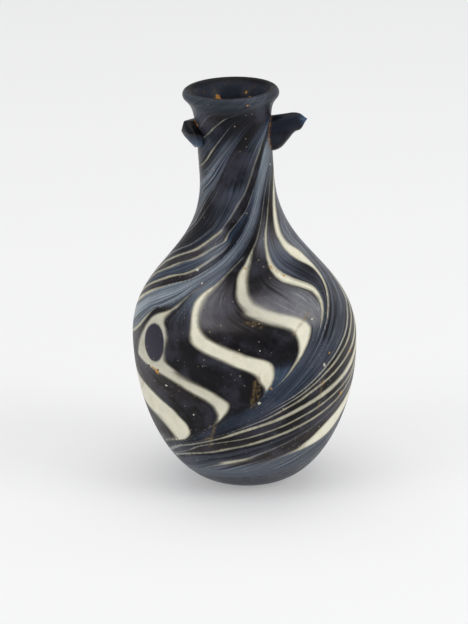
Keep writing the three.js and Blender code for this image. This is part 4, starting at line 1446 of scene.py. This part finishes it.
# %% Stubs, seams, inside, and the painted shade inside the lip
stub_colour = blend(ramp_between(cloud, 0.4, 0.65), srgb("#0f0d11"), srgb("#1d212c"))
glass_colour = blend(stub_at, glass_colour, stub_colour)
glass_colour = laid_over(glass_colour, thin_at, 0.6, "#557394")
soil = blend(ramp_between(grain, 0.35, 0.65), srgb("#4a3520"), srgb("#b98443"))
soil_share = math("MULTIPLY", seam_at, ramp_between(cloud, 0.4, 0.6), clamp=True)
glass_colour = blend(math("MULTIPLY", soil_share, 0.85), glass_colour, soil)
inside_colour = blend(cloud, srgb("#14151b"), srgb("#303443"))
inside_colour = blend(ramp_between(mottle, 0.02, 0.16), inside_colour, srgb("#453b2c"))
inside_colour = laid_over(inside_colour, orange_at, 0.8, "#c98a35")
glass_colour = blend(inner_at, glass_colour, inside_colour)
# Painted shade: a near-black line along the inner side of the lip
painted_lip_shade = math("MULTIPLY", painted_lip_shade_at, ramp_between(cloud, 0.25, 0.55, 0.55, 0.9))
glass_colour = blend(painted_lip_shade, glass_colour, srgb("#0a090b"))
print("nodes with all colours:", len(tree.nodes))

# %% [markdown]
# Fresh glass is as smooth as a mirror. This one has been etched by damp soil, so it is satin: a
# middling roughness that varies in patches, with little gloss. Pits, bubbles and cracks are about a
# tenth of a millimetre deep, so a bump is enough for them, and the mesh stays smooth.

# %% Satin surface
BUMP_MM = 0.12
GLASS_IOR = 1.5
ETCHED_GLOSS = 0.13  # polished glass would have 0.5
roughness = ramp_between(cloud, 0.3, 0.7, 0.3, 0.46)
roughness = math("ADD", roughness, math("MULTIPLY", pale_cover, 0.08))
roughness = math("SUBTRACT", roughness, math("MULTIPLY", stub_at, 0.14))
relief = math("MULTIPLY_ADD", grain, 0.35, math("MULTIPLY", cloud, 0.5))
for hollow, depth in ((pit, 0.8), (bubble, 0.5), (broken_crack, 0.4)):
    relief = math("SUBTRACT", relief, math("MULTIPLY", hollow, depth))
bump = add_node(tree, "Bump", {"Height": relief, "Strength": 0.35, "Distance": BUMP_MM * MM})
glass_inputs = {
    "Base Color": glass_colour,
    "Roughness": roughness,
    "IOR": GLASS_IOR,
    "Specular IOR Level": ETCHED_GLOSS,
    "Normal": bump.outputs["Normal"],
}
surface = add_node(tree, "BsdfPrincipled", glass_inputs)
add_node(tree, "OutputMaterial", {"Surface": surface.outputs["BSDF"]})
flask.data.materials.clear()
flask.data.materials.append(marbled)
print("nodes in the glass:", len(tree.nodes))

# %% [markdown]
# The flask has no moving parts, so it rides on the frame's only body. It is dressed in the record's
# one material slot and takes the place of the frame's one node.

# %% Tie the flask to the frame
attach(flask, "root")
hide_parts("flask")
print("faces of the one piece:", len(flask.data.polygons))

# %% [markdown]
# A photographer lays such a flask on pale paper over a lit table and hangs broad soft lights round it,
# which keeps its shadow faint. Here the paper is a flat floor that gives off a little light of its
# own. The camera looks down a little from far away, so that the outline hardly narrows with depth.

# %% Floor
FLOOR_HALF = 3.0  # metres
TABLE_GLOW = 0.3
bm = bmesh.new()
bmesh.ops.create_grid(bm, x_segments=1, y_segments=1, size=FLOOR_HALF)
floor = new_object("floor", bm)
floor_finish, floor_tree = new_material("pale paper")
paper = floor_tree.nodes["Principled BSDF"]
paper.inputs["Base Color"].default_value = srgb("#d4d4d4")
paper.inputs["Roughness"].default_value = 0.9
paper.inputs["Emission Color"].default_value = srgb("#ffffff")
paper.inputs["Emission Strength"].default_value = TABLE_GLOW
floor.data.materials.append(floor_finish)
print("floor in metres:", 2 * FLOOR_HALF)


# %% Lights
MIDDLE = Vector((0, 0, 0.045))
SKY_STRENGTH = 0.46
LIGHTS = [  # name, place and size in metres, power in watts
    ("overhead", (0.0, 0.05, 1.3), 1.5, 8.2),
    ("left", (-0.75, -0.45, 0.55), 0.5, 1.5),
    ("right", (0.75, -0.35, 0.5), 0.5, 2.4),
]


def area_light(name, place, size, power):
    lamp = bpy.data.lights.new(name, "AREA")
    lamp.size = size
    lamp.energy = power
    holder = bpy.data.objects.new(name, lamp)
    holder.location = place
    aim = MIDDLE - Vector(place)
    holder.rotation_euler = aim.to_track_quat("-Z", "Y").to_euler()
    bpy.context.collection.objects.link(holder)


for name, place, size, power in LIGHTS:
    area_light(name, place, size, power)
world = bpy.data.worlds.new("studio")
world.use_nodes = True
world.node_tree.nodes["Background"].inputs["Color"].default_value = srgb("#f4f5f7")
world.node_tree.nodes["Background"].inputs["Strength"].default_value = SKY_STRENGTH
bpy.context.scene.world = world
print("lights:", len(LIGHTS))

# %% Camera
CAMERA_DISTANCE = 900 * MM
CAMERA_ELEVATION = np.radians(18.5)
AIM = Vector((-3.2, 0, 43.0)) * MM
FOCAL_PIXELS = 3600
PHOTO_HEIGHT = 624  # pixels
SENSOR = 36.0
lens = bpy.data.cameras.new("photographer")
lens.sensor_fit = "VERTICAL"
lens.sensor_height = SENSOR
lens.lens = FOCAL_PIXELS / PHOTO_HEIGHT * SENSOR
lens.clip_start = 0.05
lens.clip_end = 10
camera = bpy.data.objects.new("photographer", lens)
back_off = Vector((0, -np.cos(CAMERA_ELEVATION), np.sin(CAMERA_ELEVATION))) * CAMERA_DISTANCE
camera.location = AIM + back_off
camera.rotation_euler = (-back_off).to_track_quat("-Z", "Y").to_euler()
bpy.context.collection.objects.link(camera)
bpy.context.scene.camera = camera
bpy.context.scene.view_settings.view_transform = "Standard"
print("lens in mm:", round(lens.lens, 1))
